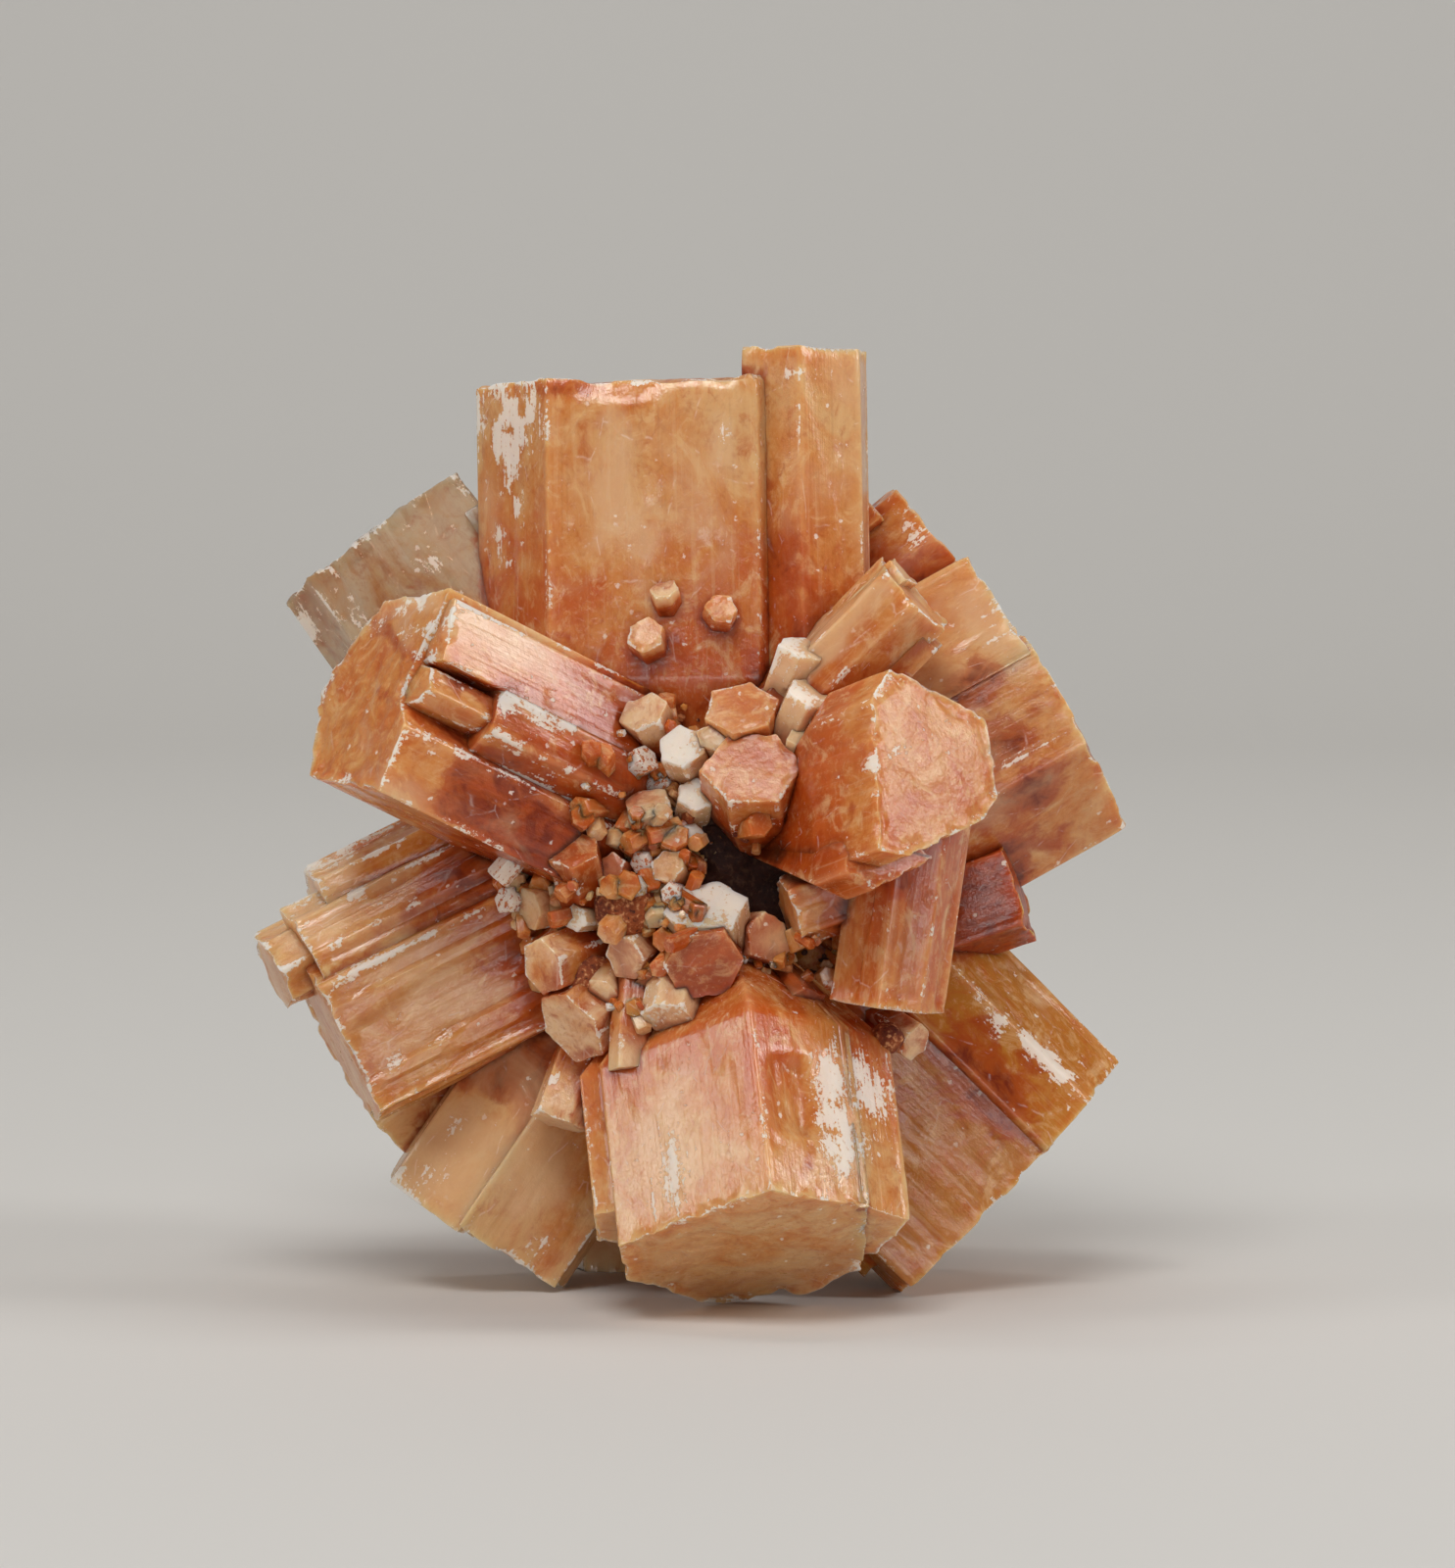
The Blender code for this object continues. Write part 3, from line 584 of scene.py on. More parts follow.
# The big crystals: end is the middle of the end face, clock and toward turn the axis, body is the straight
# part of the reach. Grown are its members: how far each stands out, and its corners. Cuts are taken out of
# the first: from, to along the axis, corners. Places and corners are as in the solids.
crown = {
    "name": "crown_crystal", "end": (-2.1, 2.5, 43.0), "clock": 91, "toward": -6, "reach": 24,
    "body": 14.5,
    "grown": [
        (0.0, [(8.0, 0.4), (4.5, 6.2), (-5.4, 6.5), (-8.6, 0.5), (-5.0, -5.6), (4.2, -5.8)]),
        (1.2, [(-4.7, 5.0), (-7.4, 6.9), (-10.3, 5.4), (-10.7, 2.0), (-8.0, -0.6), (-4.9, 1.3)]),
        (-1.6, [(7.4, -0.8), (6.6, -5.0), (3.0, -8.2), (-1.6, -7.6), (-1.9, -1.5)]),
        (-3.4, [(-0.7, -3.1), (-1.3, -8.4), (-5.4, -9.3), (-9.2, -5.9), (-8.9, 0.4)])],
    "cuts": [
        (-1.5, 0.5, [(3.4, 7.5), (2.9, 5.8), (-0.5, 5.6), (-0.9, 7.5)]),
        (-0.5, 0.5, [(-0.7, 7.5), (-0.7, 5.4), (-4.3, 5.7), (-4.8, 7.5)]),
        (-0.9, 0.5, [(8.6, 1.5), (7.4, 0.9), (6.8, 3.2), (7.6, 3.6)])],
    "look": {
        "rust": 0.1, "capWave": 0.45, "terrace": 0.05, "striae": 0.03, "pale": 0.4, "rootRust": 0.2,
        "warmth": 0.45,
        "marks": [
            ("white", 6.0, -1.9, 1.3, 1.8, 0.45), ("frost", 6.4, -1.6, 1.6, 2.6, 0.9),
            ("frost", 6.3, -5.6, 0.6, 2.6, 0.9), ("frost", 6.6, -7.8, 0.5, 1.6, 0.7),
            ("pale", -3.7, -2.6, 0.7, 2.2, 0.9), ("frost", -3.8, -2.2, 0.35, 1.6, 0.7),
            ("frost", 2.9, -1.5, 1.4, 0.5, 0.8), ("rust", 1.3, -0.8, 2.6, 1.0, 0.9),
            ("rust", -3.0, 0.0, 2.2, 0.7, 0.7), ("rust", 5.3, -4.5, 1.0, 3.0, 0.3),
            ("rust", 1.6, -3.7, 2.4, 1.6, -0.2), ("pale", 0.8, -5.6, 2.4, 3.0, 0.9),
            ("pale", 3.4, -2.9, 1.2, 1.2, 0.4), ("rust", 2.7, -11.4, 3.5, 2.6, 0.15),
            ("rust", -6.4, -9.1, 1.6, 4.6, 0.4), ("rust", 5.0, -0.5, 2.6, 0.6, 0.7),
            ("white", 0.4, -0.4, 0.8, 0.3, 0.8), ("white", -7.2, -0.3, 1.2, 0.3, 0.7),
            ("rust", -2.0, -4.2, 0.4, 0.8, 0.6)]}}
leftShoulder = {
    "name": "left_shoulder_crystal", "end": (-14.2, -10.0, 29.1), "clock": 151, "toward": 29, "reach": 21,
    "body": 12,
    "grown": [
        (0.0, [(5.2, -2.0), (3.7, 4.6), (0.5, 3.8), (-0.6, 1.9), (-5.9, 1.2), (-3.6, -4.1), (1.7, -5.4)]),
        (-0.15, [(0.1, 2.0), (-0.6, 3.3), (-1.5, 3.9), (-2.4, 2.9), (-2.2, 1.2)]),
        (-0.3, [(-2.1, 1.4), (-2.9, 3.4), (-5.6, 1.5), (-4.0, -1.0)]),
        (-3.8, [(0.4, 3.4), (-1.0, 4.3), (-2.9, 3.5), (-3.5, 2.0), (-0.4, 1.0)])],
    "look": {
        "rust": 0.25, "warmth": 0.75, "capRough": 0.1, "frost": 0.8, "plates": 0.8,
        # The frost bands across the ledges (across -1.0 to -1.6) are partly frosting and partly a painted
        # silvery sheen; the narrow rust bands at across -2.3 and -0.1 are partly iron stain and partly
        # painted shade in the recesses.
        "marks": [
            ("rust", -2.3, -2.6, 0.5, 3.6, 0.7), ("rust", -0.1, -3.4, 0.5, 3.6, 0.7),
            ("frost", -4.2, 0.0, 1.0, 1.6, 0.5), ("pale", -4.9, -2.3, 1.4, 3.0, 0.5),
            ("pale", -4.9, -6.5, 1.4, 3.0, 0.4), ("frost", -4.0, 0.0, 1.6, 1.0, 0.6),
            ("rust", 2.4, -7.2, 2.0, 3.6, 1.3), ("rust", 3.0, -4.0, 1.2, 2.0, 0.5),
            ("rust", 2.4, -1.4, 1.4, 1.2, -0.3), ("frost", -1.1, -2.4, 1.0, 0.5, 0.6),
            ("frost", -1.1, -6.0, 1.0, 0.5, 0.6), ("rust", 3.9, -4.0, 0.5, 5.0, -0.6),
            ("frost", -1.0, -8.4, 2.0, 1.4, 0.6), ("frost", -1.6, -4.2, 2.0, 0.6, 0.7),
            ("white", -2.6, -6.6, 0.5, 1.6, 0.7)]}}
left = {
    "name": "left_crystal", "end": (-17.3, -2.6, 13.3), "clock": 206, "toward": 11, "reach": 20,
    "body": 12,
    "grown": [
        (0.0, [(5.8, 1.0), (5.1, 4.3), (-1.5, 4.7), (-3.0, 1.2), (-2.6, -3.4), (1.2, -5.6), (4.9, -3.6)]),
        (1.1, [(-1.2, 1.9), (-2.9, 2.8), (-4.4, 1.0), (-4.7, -2.9), (-3.2, -5.2), (-0.6, -4.2)]),
        (-0.4, [(-1.3, 4.2), (-3.0, 4.1), (-4.6, 2.3), (-5.4, 0.1), (-4.1, -1.2), (-1.2, 0.3)]),
        (-2.3, [(-4.2, 2.3), (-5.9, 1.6), (-6.6, -0.6), (-5.2, -4.1), (-1.4, -4.6)])],
    "look": {
        "terrace": 0.2, "striae": 0.09, "pale": 0.3, "plates": 1.1, "golden": 0.5, "frost": 0.7,
        "rootRust": 0.35,
        # The frost and pale spots on the upper members (across -1.6 to -6.2) are partly frosting and partly
        # a painted whitish sheen.
        "marks": [
            ("frost", -4.6, -2.4, 1.0, 3.4, 0.7), ("frost", -1.6, -2.0, 0.7, 3.0, 0.55),
            ("frost", -6.2, -4.0, 0.6, 3.0, 0.6), ("pale", -6.0, -3.1, 1.2, 3.0, 0.7),
            ("pale", -5.1, -1.0, 1.6, 2.6, 0.6), ("frost", 3.3, -2.1, 0.7, 1.8, 0.7),
            ("pale", 0.6, -4.9, 2.0, 2.2, 0.5), ("rust", 2.6, -8.0, 2.2, 2.4, 0.6),
            ("rust", -3.2, -7.5, 1.2, 2.4, 0.6)]}}
lowLeft = {
    "name": "low_left_crystal", "end": (-10.2, -0.4, 2.8), "clock": 236, "toward": 1, "reach": 20,
    "body": 11,
    "grown": [
        (0.0, [(5.2, 0.6), (4.7, 2.5), (-0.8, 4.3), (-1.5, -1.1), (0.7, -4.9), (4.2, -3.3)]),
        (0.25, [(-0.6, 4.1), (-4.6, 2.3), (-4.7, -2.1), (-1.1, -4.4), (1.1, -1.0)])],
    "look": {
        "pale": 0.55, "rust": 0.1, "warmth": 0.25, "frost": 0.7, "golden": 0.2,
        # The frost and pale spots on the left member (across -3.4 and -3.8) are partly frosting and partly a
        # painted pearly sheen.
        "marks": [
            ("frost", -3.4, -2.4, 1.2, 2.2, 0.6), ("frost", 2.6, -1.6, 0.8, 1.4, 0.5),
            ("rust", -0.9, -3.4, 0.4, 3.0, 0.5), ("pale", -3.8, -1.5, 1.6, 3.0, 0.5),
            ("pale", 0.5, -3.3, 2.0, 2.4, 0.4), ("rust", -1.7, -7.8, 2.6, 1.8, 0.6)]}}
foot = {
    "name": "foot_crystal", "end": (3.4, -11.9, 3.35), "clock": -83, "toward": 31, "reach": 16,
    "body": 9.3, "narrowing": 0.25,
    "grown": [
        (0.0, [(5.4, 3.0), (1.0, 6.6), (-6.4, 2.2), (-6.3, -1.9), (-2.6, -6.3), (1.9, -6.2), (4.6, -4.6)]),
        (-0.2, [(7.2, 0.7), (5.0, 3.4), (2.9, 2.9), (3.0, -2.6), (5.4, -3.3)]),
        (-2.1, [(-5.3, 1.9), (-7.4, 1.2), (-7.5, -1.9), (-5.4, -3.0)])],
    "cuts": [
        (-7.4, -2.9, [(1.3, 7.2), (3.8, 5.3), (3.3, 4.1), (1.3, 5.8)]),
        (-3.0, 0.5, [(-0.6, -7.5), (0.9, -7.5), (0.2, -5.4)])],
    "look": {
        "rust": 0.1, "pale": 0.35, "warmth": 0.35, "rootRust": 0.1, "clayAndShade": 0.3,
        # The white and frost spots on the right face (across 4.4 to 5.2) are partly chipped white aragonite
        # and partly a painted reflection; the frost streaks on the left face (across -2.4 to -3.6) are
        # partly frosting and partly a painted sheen.
        "marks": [
            ("white", -4.6, -2.2, 0.3, 1.4, 0.8), ("white", 5.2, -6.4, 1.5, 2.2, 1.3),
            ("white", 4.9, -3.4, 1.2, 1.5, 1.0), ("frost", -2.4, -5.0, 1.8, 3.6, 0.5),
            ("frost", -3.6, -2.5, 0.45, 1.6, 0.9), ("pale", -3.6, -4.9, 2.4, 3.4, 0.6),
            ("frost", 4.9, -5.4, 1.0, 2.2, 1.0), ("frost", 4.4, -1.8, 0.9, 1.3, 0.7),
            ("rust", 2.2, -4.2, 0.9, 3.0, 0.35), ("rust", 6.5, -2.2, 0.6, 2.4, 0.3),
            ("rust", 2.9, -1.7, 0.7, 0.5, 0.6)]}}
lowRight = {
    "name": "low_right_crystal", "end": (15.4, -0.2, 5.1), "clock": -45, "toward": 0, "reach": 21,
    "body": 11,
    "grown": [
        (0.0, [(2.9, 4.4), (-6.6, 4.5), (-7.6, 1.3), (-7.0, -3.7), (-1.2, -6.2), (4.2, -4.4)]),
        (-0.25, [(7.8, 0.3), (5.5, 3.5), (2.6, 4.7), (0.4, 2.1), (1.3, -3.9), (5.9, -4.1)]),
        (-1.7, [(-6.5, 3.4), (-8.1, 1.9), (-8.2, -1.6), (-5.7, -2.6)])],
    "look": {
        "rust": 0.05, "warmth": 0.75, "pale": 0.0, "golden": 1.2, "terrace": 0.06, "striae": 0.035,
        "plates": 0.7, "rootRust": 0.4,
        "marks": [
            ("pale", 6.6, -5.6, 1.5, 3.4, 0.6), ("frost", 6.2, -2.4, 0.9, 1.1, 1.0),
            ("rust", 3.4, -3.9, 2.0, 3.0, 0.9), ("frost", 5.2, -4.4, 0.7, 3.4, 0.7),
            ("rust", -3.0, -8.0, 3.0, 2.0, 0.4), ("rust", -1.2, -3.6, 1.2, 2.0, -0.3),
            ("rust", -5.8, -0.9, 1.6, 1.0, 0.4)]}}
right = {
    "name": "right_crystal", "end": (17.4, 1.0, 28.5), "clock": 29, "toward": -3, "reach": 20, "body": 12,
    "grown": [
        (0.0, [(2.5, 4.9), (-2.7, 5.5), (-7.5, 1.3), (-6.9, -3.2), (-1.2, -5.8), (4.0, -4.5)]),
        (-0.35, [(7.6, 0.5), (2.3, 5.1), (0.7, 1.2), (1.6, -4.1), (6.2, -4.0)])],
    "look": {
        "rust": 0.25, "warmth": 0.45, "pale": 0.3,
        # The pale and frost spots on the top face (across 4.2 to 4.6) are partly pale frosting and partly a
        # painted highlight.
        "marks": [
            ("pale", 4.6, -0.9, 2.0, 1.6, 0.9), ("frost", 4.2, -1.5, 1.4, 1.0, 0.6),
            ("frost", -1.6, -2.6, 0.3, 2.0, 0.7), ("rust", 2.1, -3.1, 1.0, 1.6, 0.9),
            ("rust", -0.4, -3.2, 0.9, 1.8, 0.9), ("rust", -3.2, -3.5, 0.9, 1.8, 0.9),
            ("rust", -5.8, -5.1, 1.2, 2.6, 0.9), ("rust", -4.5, -1.6, 1.6, 1.3, -0.3)]}}
rightShelf = {
    "name": "right_shelf_crystal", "end": (15.8, -1.2, 19.4), "clock": 19, "toward": 4, "reach": 15,
    "body": 7, "grown": [(0.0, [(1.9, 2.3), (-1.7, 2.6), (-2.9, 0.2), (-1.4, -3.1), (2.6, -2.8)])],
    "look": {"rust": 1.2, "warmth": 1.2, "pale": 0.0, "frost": 0.2}}
clearBackLeft = {
    "name": "clear_back_left_crystal", "end": (-14.7, 4.6, 35.7), "clock": 126, "toward": -9, "reach": 22,
    "body": 12,
    "grown": [
        (0.0, [(5.7, 0.5), (3.9, 3.2), (-1.6, 4.0), (-4.8, 2.0), (-4.5, -2.7), (0.6, -4.5), (4.9, -3.0)]),
        (-1.9, [(-3.9, 2.9), (-5.3, 2.6), (-5.9, 0.3), (-4.5, -1.1)])],
    "look": {
        "rust": 0.0, "warmth": 0.15, "pale": 0.0, "clear": 1, "frost": 0.8, "terrace": 0.12,
        "striae": 0.06, "plates": 1.2,
        "marks": [
            ("frost", 3.0, -2.0, 0.5, 4.0, 0.7), ("frost", -1.0, -1.2, 0.4, 3.0, 0.7),
            ("white", 5.0, -1.4, 0.5, 1.2, 0.8), ("pale", 4.4, -1.0, 1.0, 1.4, 0.6),
            ("pale", -2.4, -1.5, 1.2, 4.0, 0.5), ("rust", -0.1, -5.0, 0.6, 4.0, 0.5),
            ("rust", -3.0, -6.0, 1.0, 3.0, 0.5)]}}
backRightCap = {
    "name": "back_right_cap_crystal", "end": (11.4, 3.4, 36.3), "clock": 39, "toward": -4, "reach": 19,
    "body": 11,
    "grown": [
        (0.0, [(2.1, 0.4), (-0.6, 2.2), (-2.3, 1.7), (-2.8, -1.2), (0.1, -2.8), (2.2, -1.9)]),
        (-1.4, [(2.9, 0.1), (1.6, 1.6), (0.5, -0.8), (1.1, -3.0), (3.1, -2.2)])],
    "look": {
        "rust": 0.35, "warmth": 0.6,
        # The frost spot near the middle of the end face is partly frosting and partly a painted highlight.
        "marks": [("frost", 0.4, -0.8, 0.9, 0.9, 0.9), ("rust", 0.0, -3.0, 2.0, 1.2, 0.6)]}}
slantingRod = {
    "name": "slanting_rod_crystal", "end": (11.2, -6.6, 33.0), "clock": 45, "toward": 6, "reach": 9.4,
    "body": 9.0, "narrowing": 0.75,
    "grown": [
        (0.0, [(2.4, 1.8), (0.5, 2.6), (-1.5, 1.1), (-1.5, -1.3), (0.8, -2.6), (3.0, -1.0)]),
        (-0.9, [(-0.9, 1.6), (-2.0, 1.0), (-2.1, -0.8), (-0.8, -1.2)]),
        (0.35, [(2.7, 0.7), (1.5, 1.6), (0.8, -0.6), (2.5, -1.1)])],
    "look": {
        "pitch": 0.16, "rust": 0.15, "warmth": 0.65, "frost": 0.7, "terrace": 0.12,
        "marks": [
            ("pale", 1.8, -3.2, 0.8, 3.6, 0.8), ("rust", -0.2, -2.3, 0.8, 3.0, 0.2),
            ("frost", 2.2, -3.5, 0.4, 3.0, 0.6)]}}
rightFront = {
    "name": "right_front_crystal", "end": (11.5, -13.5, 26.0), "clock": 26, "toward": 47, "reach": 13,
    "body": 4.6, "narrowing": 0.25,
    "grown": [
        (
            0.0,
            [(4.9, -0.2), (4.0, 1.8), (-2.1, 5.4), (-3.1, 3.9), (-3.4, -1.5), (-2.7, -2.8), (0.7, -4.1)]),
        (-2.2, [(0.6, 3.2), (-2.5, 5.9), (-3.9, 4.5), (-4.0, 0.6)])],
    "look": {
        "pitch": 0.18, "rust": 0.1, "warmth": 0.7, "pale": 0.15, "rootRust": 0.3, "capRough": 0.03,
        "capStep": 0.0,
        "marks": [
            ("frost", 1.3, -0.5, 0.4, 0.8, 0.8), ("rust", 0.0, -1.6, 0.5, 0.6, 0.7),
            ("pale", 2.4, -1.0, 1.6, 1.2, 0.4)]}}
hangingRod = {
    "name": "hanging_rod_crystal", "end": (9.3, -9.2, 14.3), "clock": -98, "toward": 1, "reach": 12,
    "body": 11.5, "narrowing": 0.75,
    "grown": [(0.0, [(2.8, -0.3), (1.6, 2.2), (-0.5, 2.6), (-2.75, 0.5), (-1.6, -2.2), (1.4, -2.4)])],
    "look": {
        "pitch": 0.16, "rust": 0.25, "warmth": 0.85, "pale": 0.0, "frost": 0.7, "striae": 0.08,
        "terrace": 0.14, "plates": 0.9,
        "marks": [("rust", -0.4, -6.2, 0.8, 0.8, 0.7), ("pale", -1.9, -2.5, 0.7, 3.5, 0.4)]}}
sidePlate = {
    "name": "side_plate_crystal", "end": (4.7, -8.7, 18.6), "clock": 198, "toward": 12, "reach": 8,
    "body": 7.5, "narrowing": 0.75,
    "grown": [(0.0, [(1.7, 0.5), (1.0, 1.6), (-1.2, 1.7), (-1.9, 0.2), (-1.0, -1.5), (1.1, -1.4)])],
    "look": {"pitch": 0.13, "rust": 0.3, "warmth": 0.7, "frost": 0.8, "striae": 0.08}}
hiddenSliver = {
    "name": "hidden_sliver_crystal", "end": (-14.3, 2.4, 7.1), "clock": 222, "toward": -4, "reach": 17,
    "body": 10, "grown": [(0.0, [(1.6, 1.3), (-0.6, 1.9), (-1.9, 0.3), (-1.2, -1.8), (1.2, -1.6)])],
    "look": {"pale": 0.4, "warmth": 0.1, "rust": 0.2}}
bigCrystals = [crown, leftShoulder, left, lowLeft, foot, lowRight, right, rightShelf, clearBackLeft,
               backRightCap, slantingRod, rightFront, hangingRod, sidePlate, hiddenSliver]

# The side away from the camera: name, end, clock, toward, reach, width across corners, depth share, turn.
backCrystals = [
    ("back_foot", (-1.8, 7.4, -0.4), -90, 0, 16, 9.4, 0.86, 12),
    ("back_crown", (3.4, 12.9, 34.4), 80, -41, 20, 9.8, 0.9, 20),
    ("back_crown_twin", (-0.9, 11.2, 32.2), 96, -43, 17, 6.6, 0.8, 2),
    ("back_left_high", (-12.0, 13.0, 27.6), 148, -41, 20, 9.2, 0.88, 8),
    ("back_left_low", (-10.4, 12.4, 13.9), 206, -46, 18, 8.6, 0.85, 33),
    ("back_low_left", (-7.6, 10.6, 5.4), 238, -34, 18, 7.0, 0.92, 16),
    ("back_low_right", (9.7, 12.3, 6.6), -56, -37, 20, 9.6, 0.84, 27),
    ("back_right", (14.2, 11.9, 21.4), 9, -41, 19, 9.2, 0.9, 14),
    ("back_right_high", (11.3, 12.2, 31.2), 51, -39, 20, 7.4, 0.86, 5),
    ("back_middle", (0.3, 16.9, 17.0), -104, -80, 16, 9.0, 0.88, 11),
    ("back_middle_twin", (3.9, 15.7, 21.3), 34, -71, 15, 6.2, 0.9, 40),
    ("back_side_low", (13.0, 11.0, 13.6), -25, -41, 18, 6.6, 0.85, 21),
    ("back_top_left", (-7.0, 9.4, 37.0), 114, -26, 20, 6.4, 0.9, 18)]

# Small crystals of the druse: end, clock, toward, width across corners, length, warmth, rust, pale.
frontDruse = [
    ((-1.0, -5.5, 33.6), 100, 40, 1.5, 2.0, 0.3, 0.1, 0.6),
    ((1.7, -6.3, 32.7), 80, 66, 1.7, 2.5, 0.7, 0.1, 0.3),
    ((-1.9, -6.3, 31.5), 110, 62, 2.0, 2.6, 0.6, 0.2, 0.4),
    ((-2.0, -7.6, 28.0), 118, 50, 2.4, 4.5, 0.2, 0.1, 0.5),
    ((1.3, -9.0, 26.9), 88, 68, 1.7, 5.0, 0.1, 0.0, 0.6),
    ((-0.2, -8.8, 26.5), 112, 60, 2.5, 5.0, 0.0, 0.0, 0.9),
    ((2.6, -8.6, 28.2), 96, 48, 3.8, 6.0, 0.7, 0.1, 0.3),
    ((3.1, -10.2, 25.6), 97, 57, 4.8, 6.5, 0.8, 0.1, 0.1),
    ((5.4, -7.8, 31.0), 72, 24, 2.4, 5.0, -0.2, 0.0, 1.0),
    ((5.9, -8.8, 28.9), 66, 30, 2.6, 5.5, -0.2, 0.0, 1.0),
    ((5.6, -9.4, 26.9), 78, 36, 1.9, 4.5, 0.1, 0.0, 0.8),
    ((0.5, -8.5, 24.2), 80, 64, 1.9, 4.5, -0.1, 0.0, 1.0),
    ((0.3, -8.0, 22.4), 60, 66, 1.2, 4.0, -0.1, 0.0, 1.0),
    ((-1.8, -8.3, 23.9), 101, 33, 2.3, 5.0, 0.0, 0.1, 0.3),
    ((-5.2, -8.9, 21.7), 101, 42, 2.7, 5.5, 1.1, 0.2, 0.0),
    ((0.8, -9.4, 19.1), 96, 42, 4.1, 6.0, -0.2, 0.0, 0.9),
    ((-5.2, -8.0, 18.4), 176, 60, 1.5, 4.0, -0.1, 0.0, 0.8),
    ((0.9, -10.6, 16.5), -72, 76, 4.0, 6.0, 1.4, 0.2, 0.0),
    ((3.9, -8.6, 17.5), 18, 62, 2.7, 5.0, 0.1, 0.4, 0.3),
    ((-6.7, -8.1, 16.1), 196, 48, 3.1, 5.0, 0.3, 0.3, 0.3),
    ((-2.9, -9.0, 16.6), 204, 62, 2.4, 4.5, 0.1, 0.3, 0.4),
    ((-3.9, -8.5, 14.8), 232, 56, 1.8, 4.0, 0.1, 0.2, 0.4),
    ((-5.4, -8.2, 13.3), 216, 44, 4.0, 5.5, 0.3, 0.4, 0.2),
    ((-0.8, -10.5, 13.9), -104, 46, 2.6, 5.0, -0.1, 0.0, 0.8),
    ((2.4, -9.9, 14.2), -62, 42, 2.2, 4.5, 0.0, 0.2, 0.7),
    ((5.3, -8.6, 14.0), -42, 52, 3.0, 5.0, 0.5, 0.6, 0.0),
    ((-2.5, -9.6, 11.3), -92, 20, 2.3, 4.5, 0.0, 0.0, 0.7),
    ((-6.0, -5.9, 8.4), 250, 18, 3.0, 6.0, 0.1, 0.1, 0.5),
    ((10.8, -6.2, 12.3), -28, 46, 2.0, 4.5, 0.1, 0.3, 0.4),
    ((6.0, -8.4, 22.9), -20, 60, 2.2, 5.0, 0.4, 0.6, 0.0),
    ((2.9, -8.0, 15.9), -30, 64, 2.2, 4.5, 0.5, 0.7, 0.0),
    ((-0.9, -8.7, 20.9), 130, 66, 1.9, 4.5, 0.3, 0.4, 0.2),
    ((-3.6, -8.2, 20.7), 140, 58, 1.8, 4.5, 0.3, 0.5, 0.1),
    ((-1.6, -8.9, 15.1), 250, 62, 1.9, 4.5, 0.2, 0.3, 0.3),
    ((0.6, -9.4, 13.2), -92, 40, 2.0, 4.5, 0.2, 0.3, 0.3),
    ((-7.4, -6.4, 18.6), 186, 40, 2.2, 5.0, 0.2, 0.3, 0.3),
    ((-7.6, -7.0, 23.8), 150, 52, 2.2, 5.0, 0.4, 0.5, 0.1)]
backDruse = [
    ((-4.0, 12.4, 22.6), 160, -52, 3.2, 6.0, 0.2, 0.2, 0.4),
    ((-5.6, 12.6, 18.6), 190, -58, 2.6, 6.0, 0.0, 0.1, 0.7),
    ((-3.6, 13.4, 12.6), 238, -56, 3.4, 6.5, 0.6, 0.3, 0.2),
    ((3.6, 13.6, 11.4), -60, -58, 2.8, 6.0, 0.1, 0.1, 0.6),
    ((5.4, 12.4, 16.4), -20, -60, 3.6, 6.5, 0.5, 0.4, 0.1),
    ((7.6, 12.2, 25.4), 44, -52, 2.8, 6.0, 0.1, 0.0, 0.8),
    ((1.2, 13.0, 26.8), 84, -58, 2.4, 5.5, 0.3, 0.2, 0.3),
    ((-5.2, 11.4, 28.6), 122, -44, 2.8, 6.0, 0.4, 0.3, 0.2),
    ((9.4, 10.6, 9.8), -44, -48, 2.4, 5.5, 0.1, 0.1, 0.6),
    ((-9.6, 10.2, 21.2), 178, -40, 3.0, 6.0, 0.5, 0.4, 0.2),
    ((2.8, 9.4, 4.6), -80, -34, 2.8, 6.0, 0.2, 0.2, 0.4),
    ((-12.6, 4.8, 19.2), 180, -14, 3.6, 8.0, 0.4, 0.4, 0.2),
    ((12.6, 6.4, 25.6), 20, -20, 3.0, 7.0, 0.4, 0.4, 0.2),
    ((4.6, 6.4, 38.2), 74, -16, 3.2, 9.0, 0.3, 0.2, 0.4)]

# Clay-coated lumps of the matrix: middle and radius. The first is the heart itself.
clayLumps = [
    ((0.9, 0.0, 19.5), 6.6), ((-2.7, -7.9, 18.9), 1.5), ((-2.0, -9.0, 10.7), 1.3),
    ((9.4, -7.4, 12.7), 0.8), ((-4.6, -6.6, 15.0), 1.6), ((4.8, -6.4, 12.6), 1.7),
    ((-3.4, 11.0, 15.4), 1.8), ((6.0, 10.6, 13.0), 1.6), ((-6.4, 9.4, 24.4), 1.7),
    ((7.7, -8.5, 21.2), 1.1)]


def sixSided(across, deep, turn, uneven):
    # Corners of a six-sided end face at radius across / 2, made uneven by a share at each corner.
    angle = np.radians(turn + 60 * np.arange(6))
    radius = across / 2 * (1 + uneven)
    return [(a, f) for a, f in zip(radius * np.cos(angle), radius * np.sin(angle) * deep)]


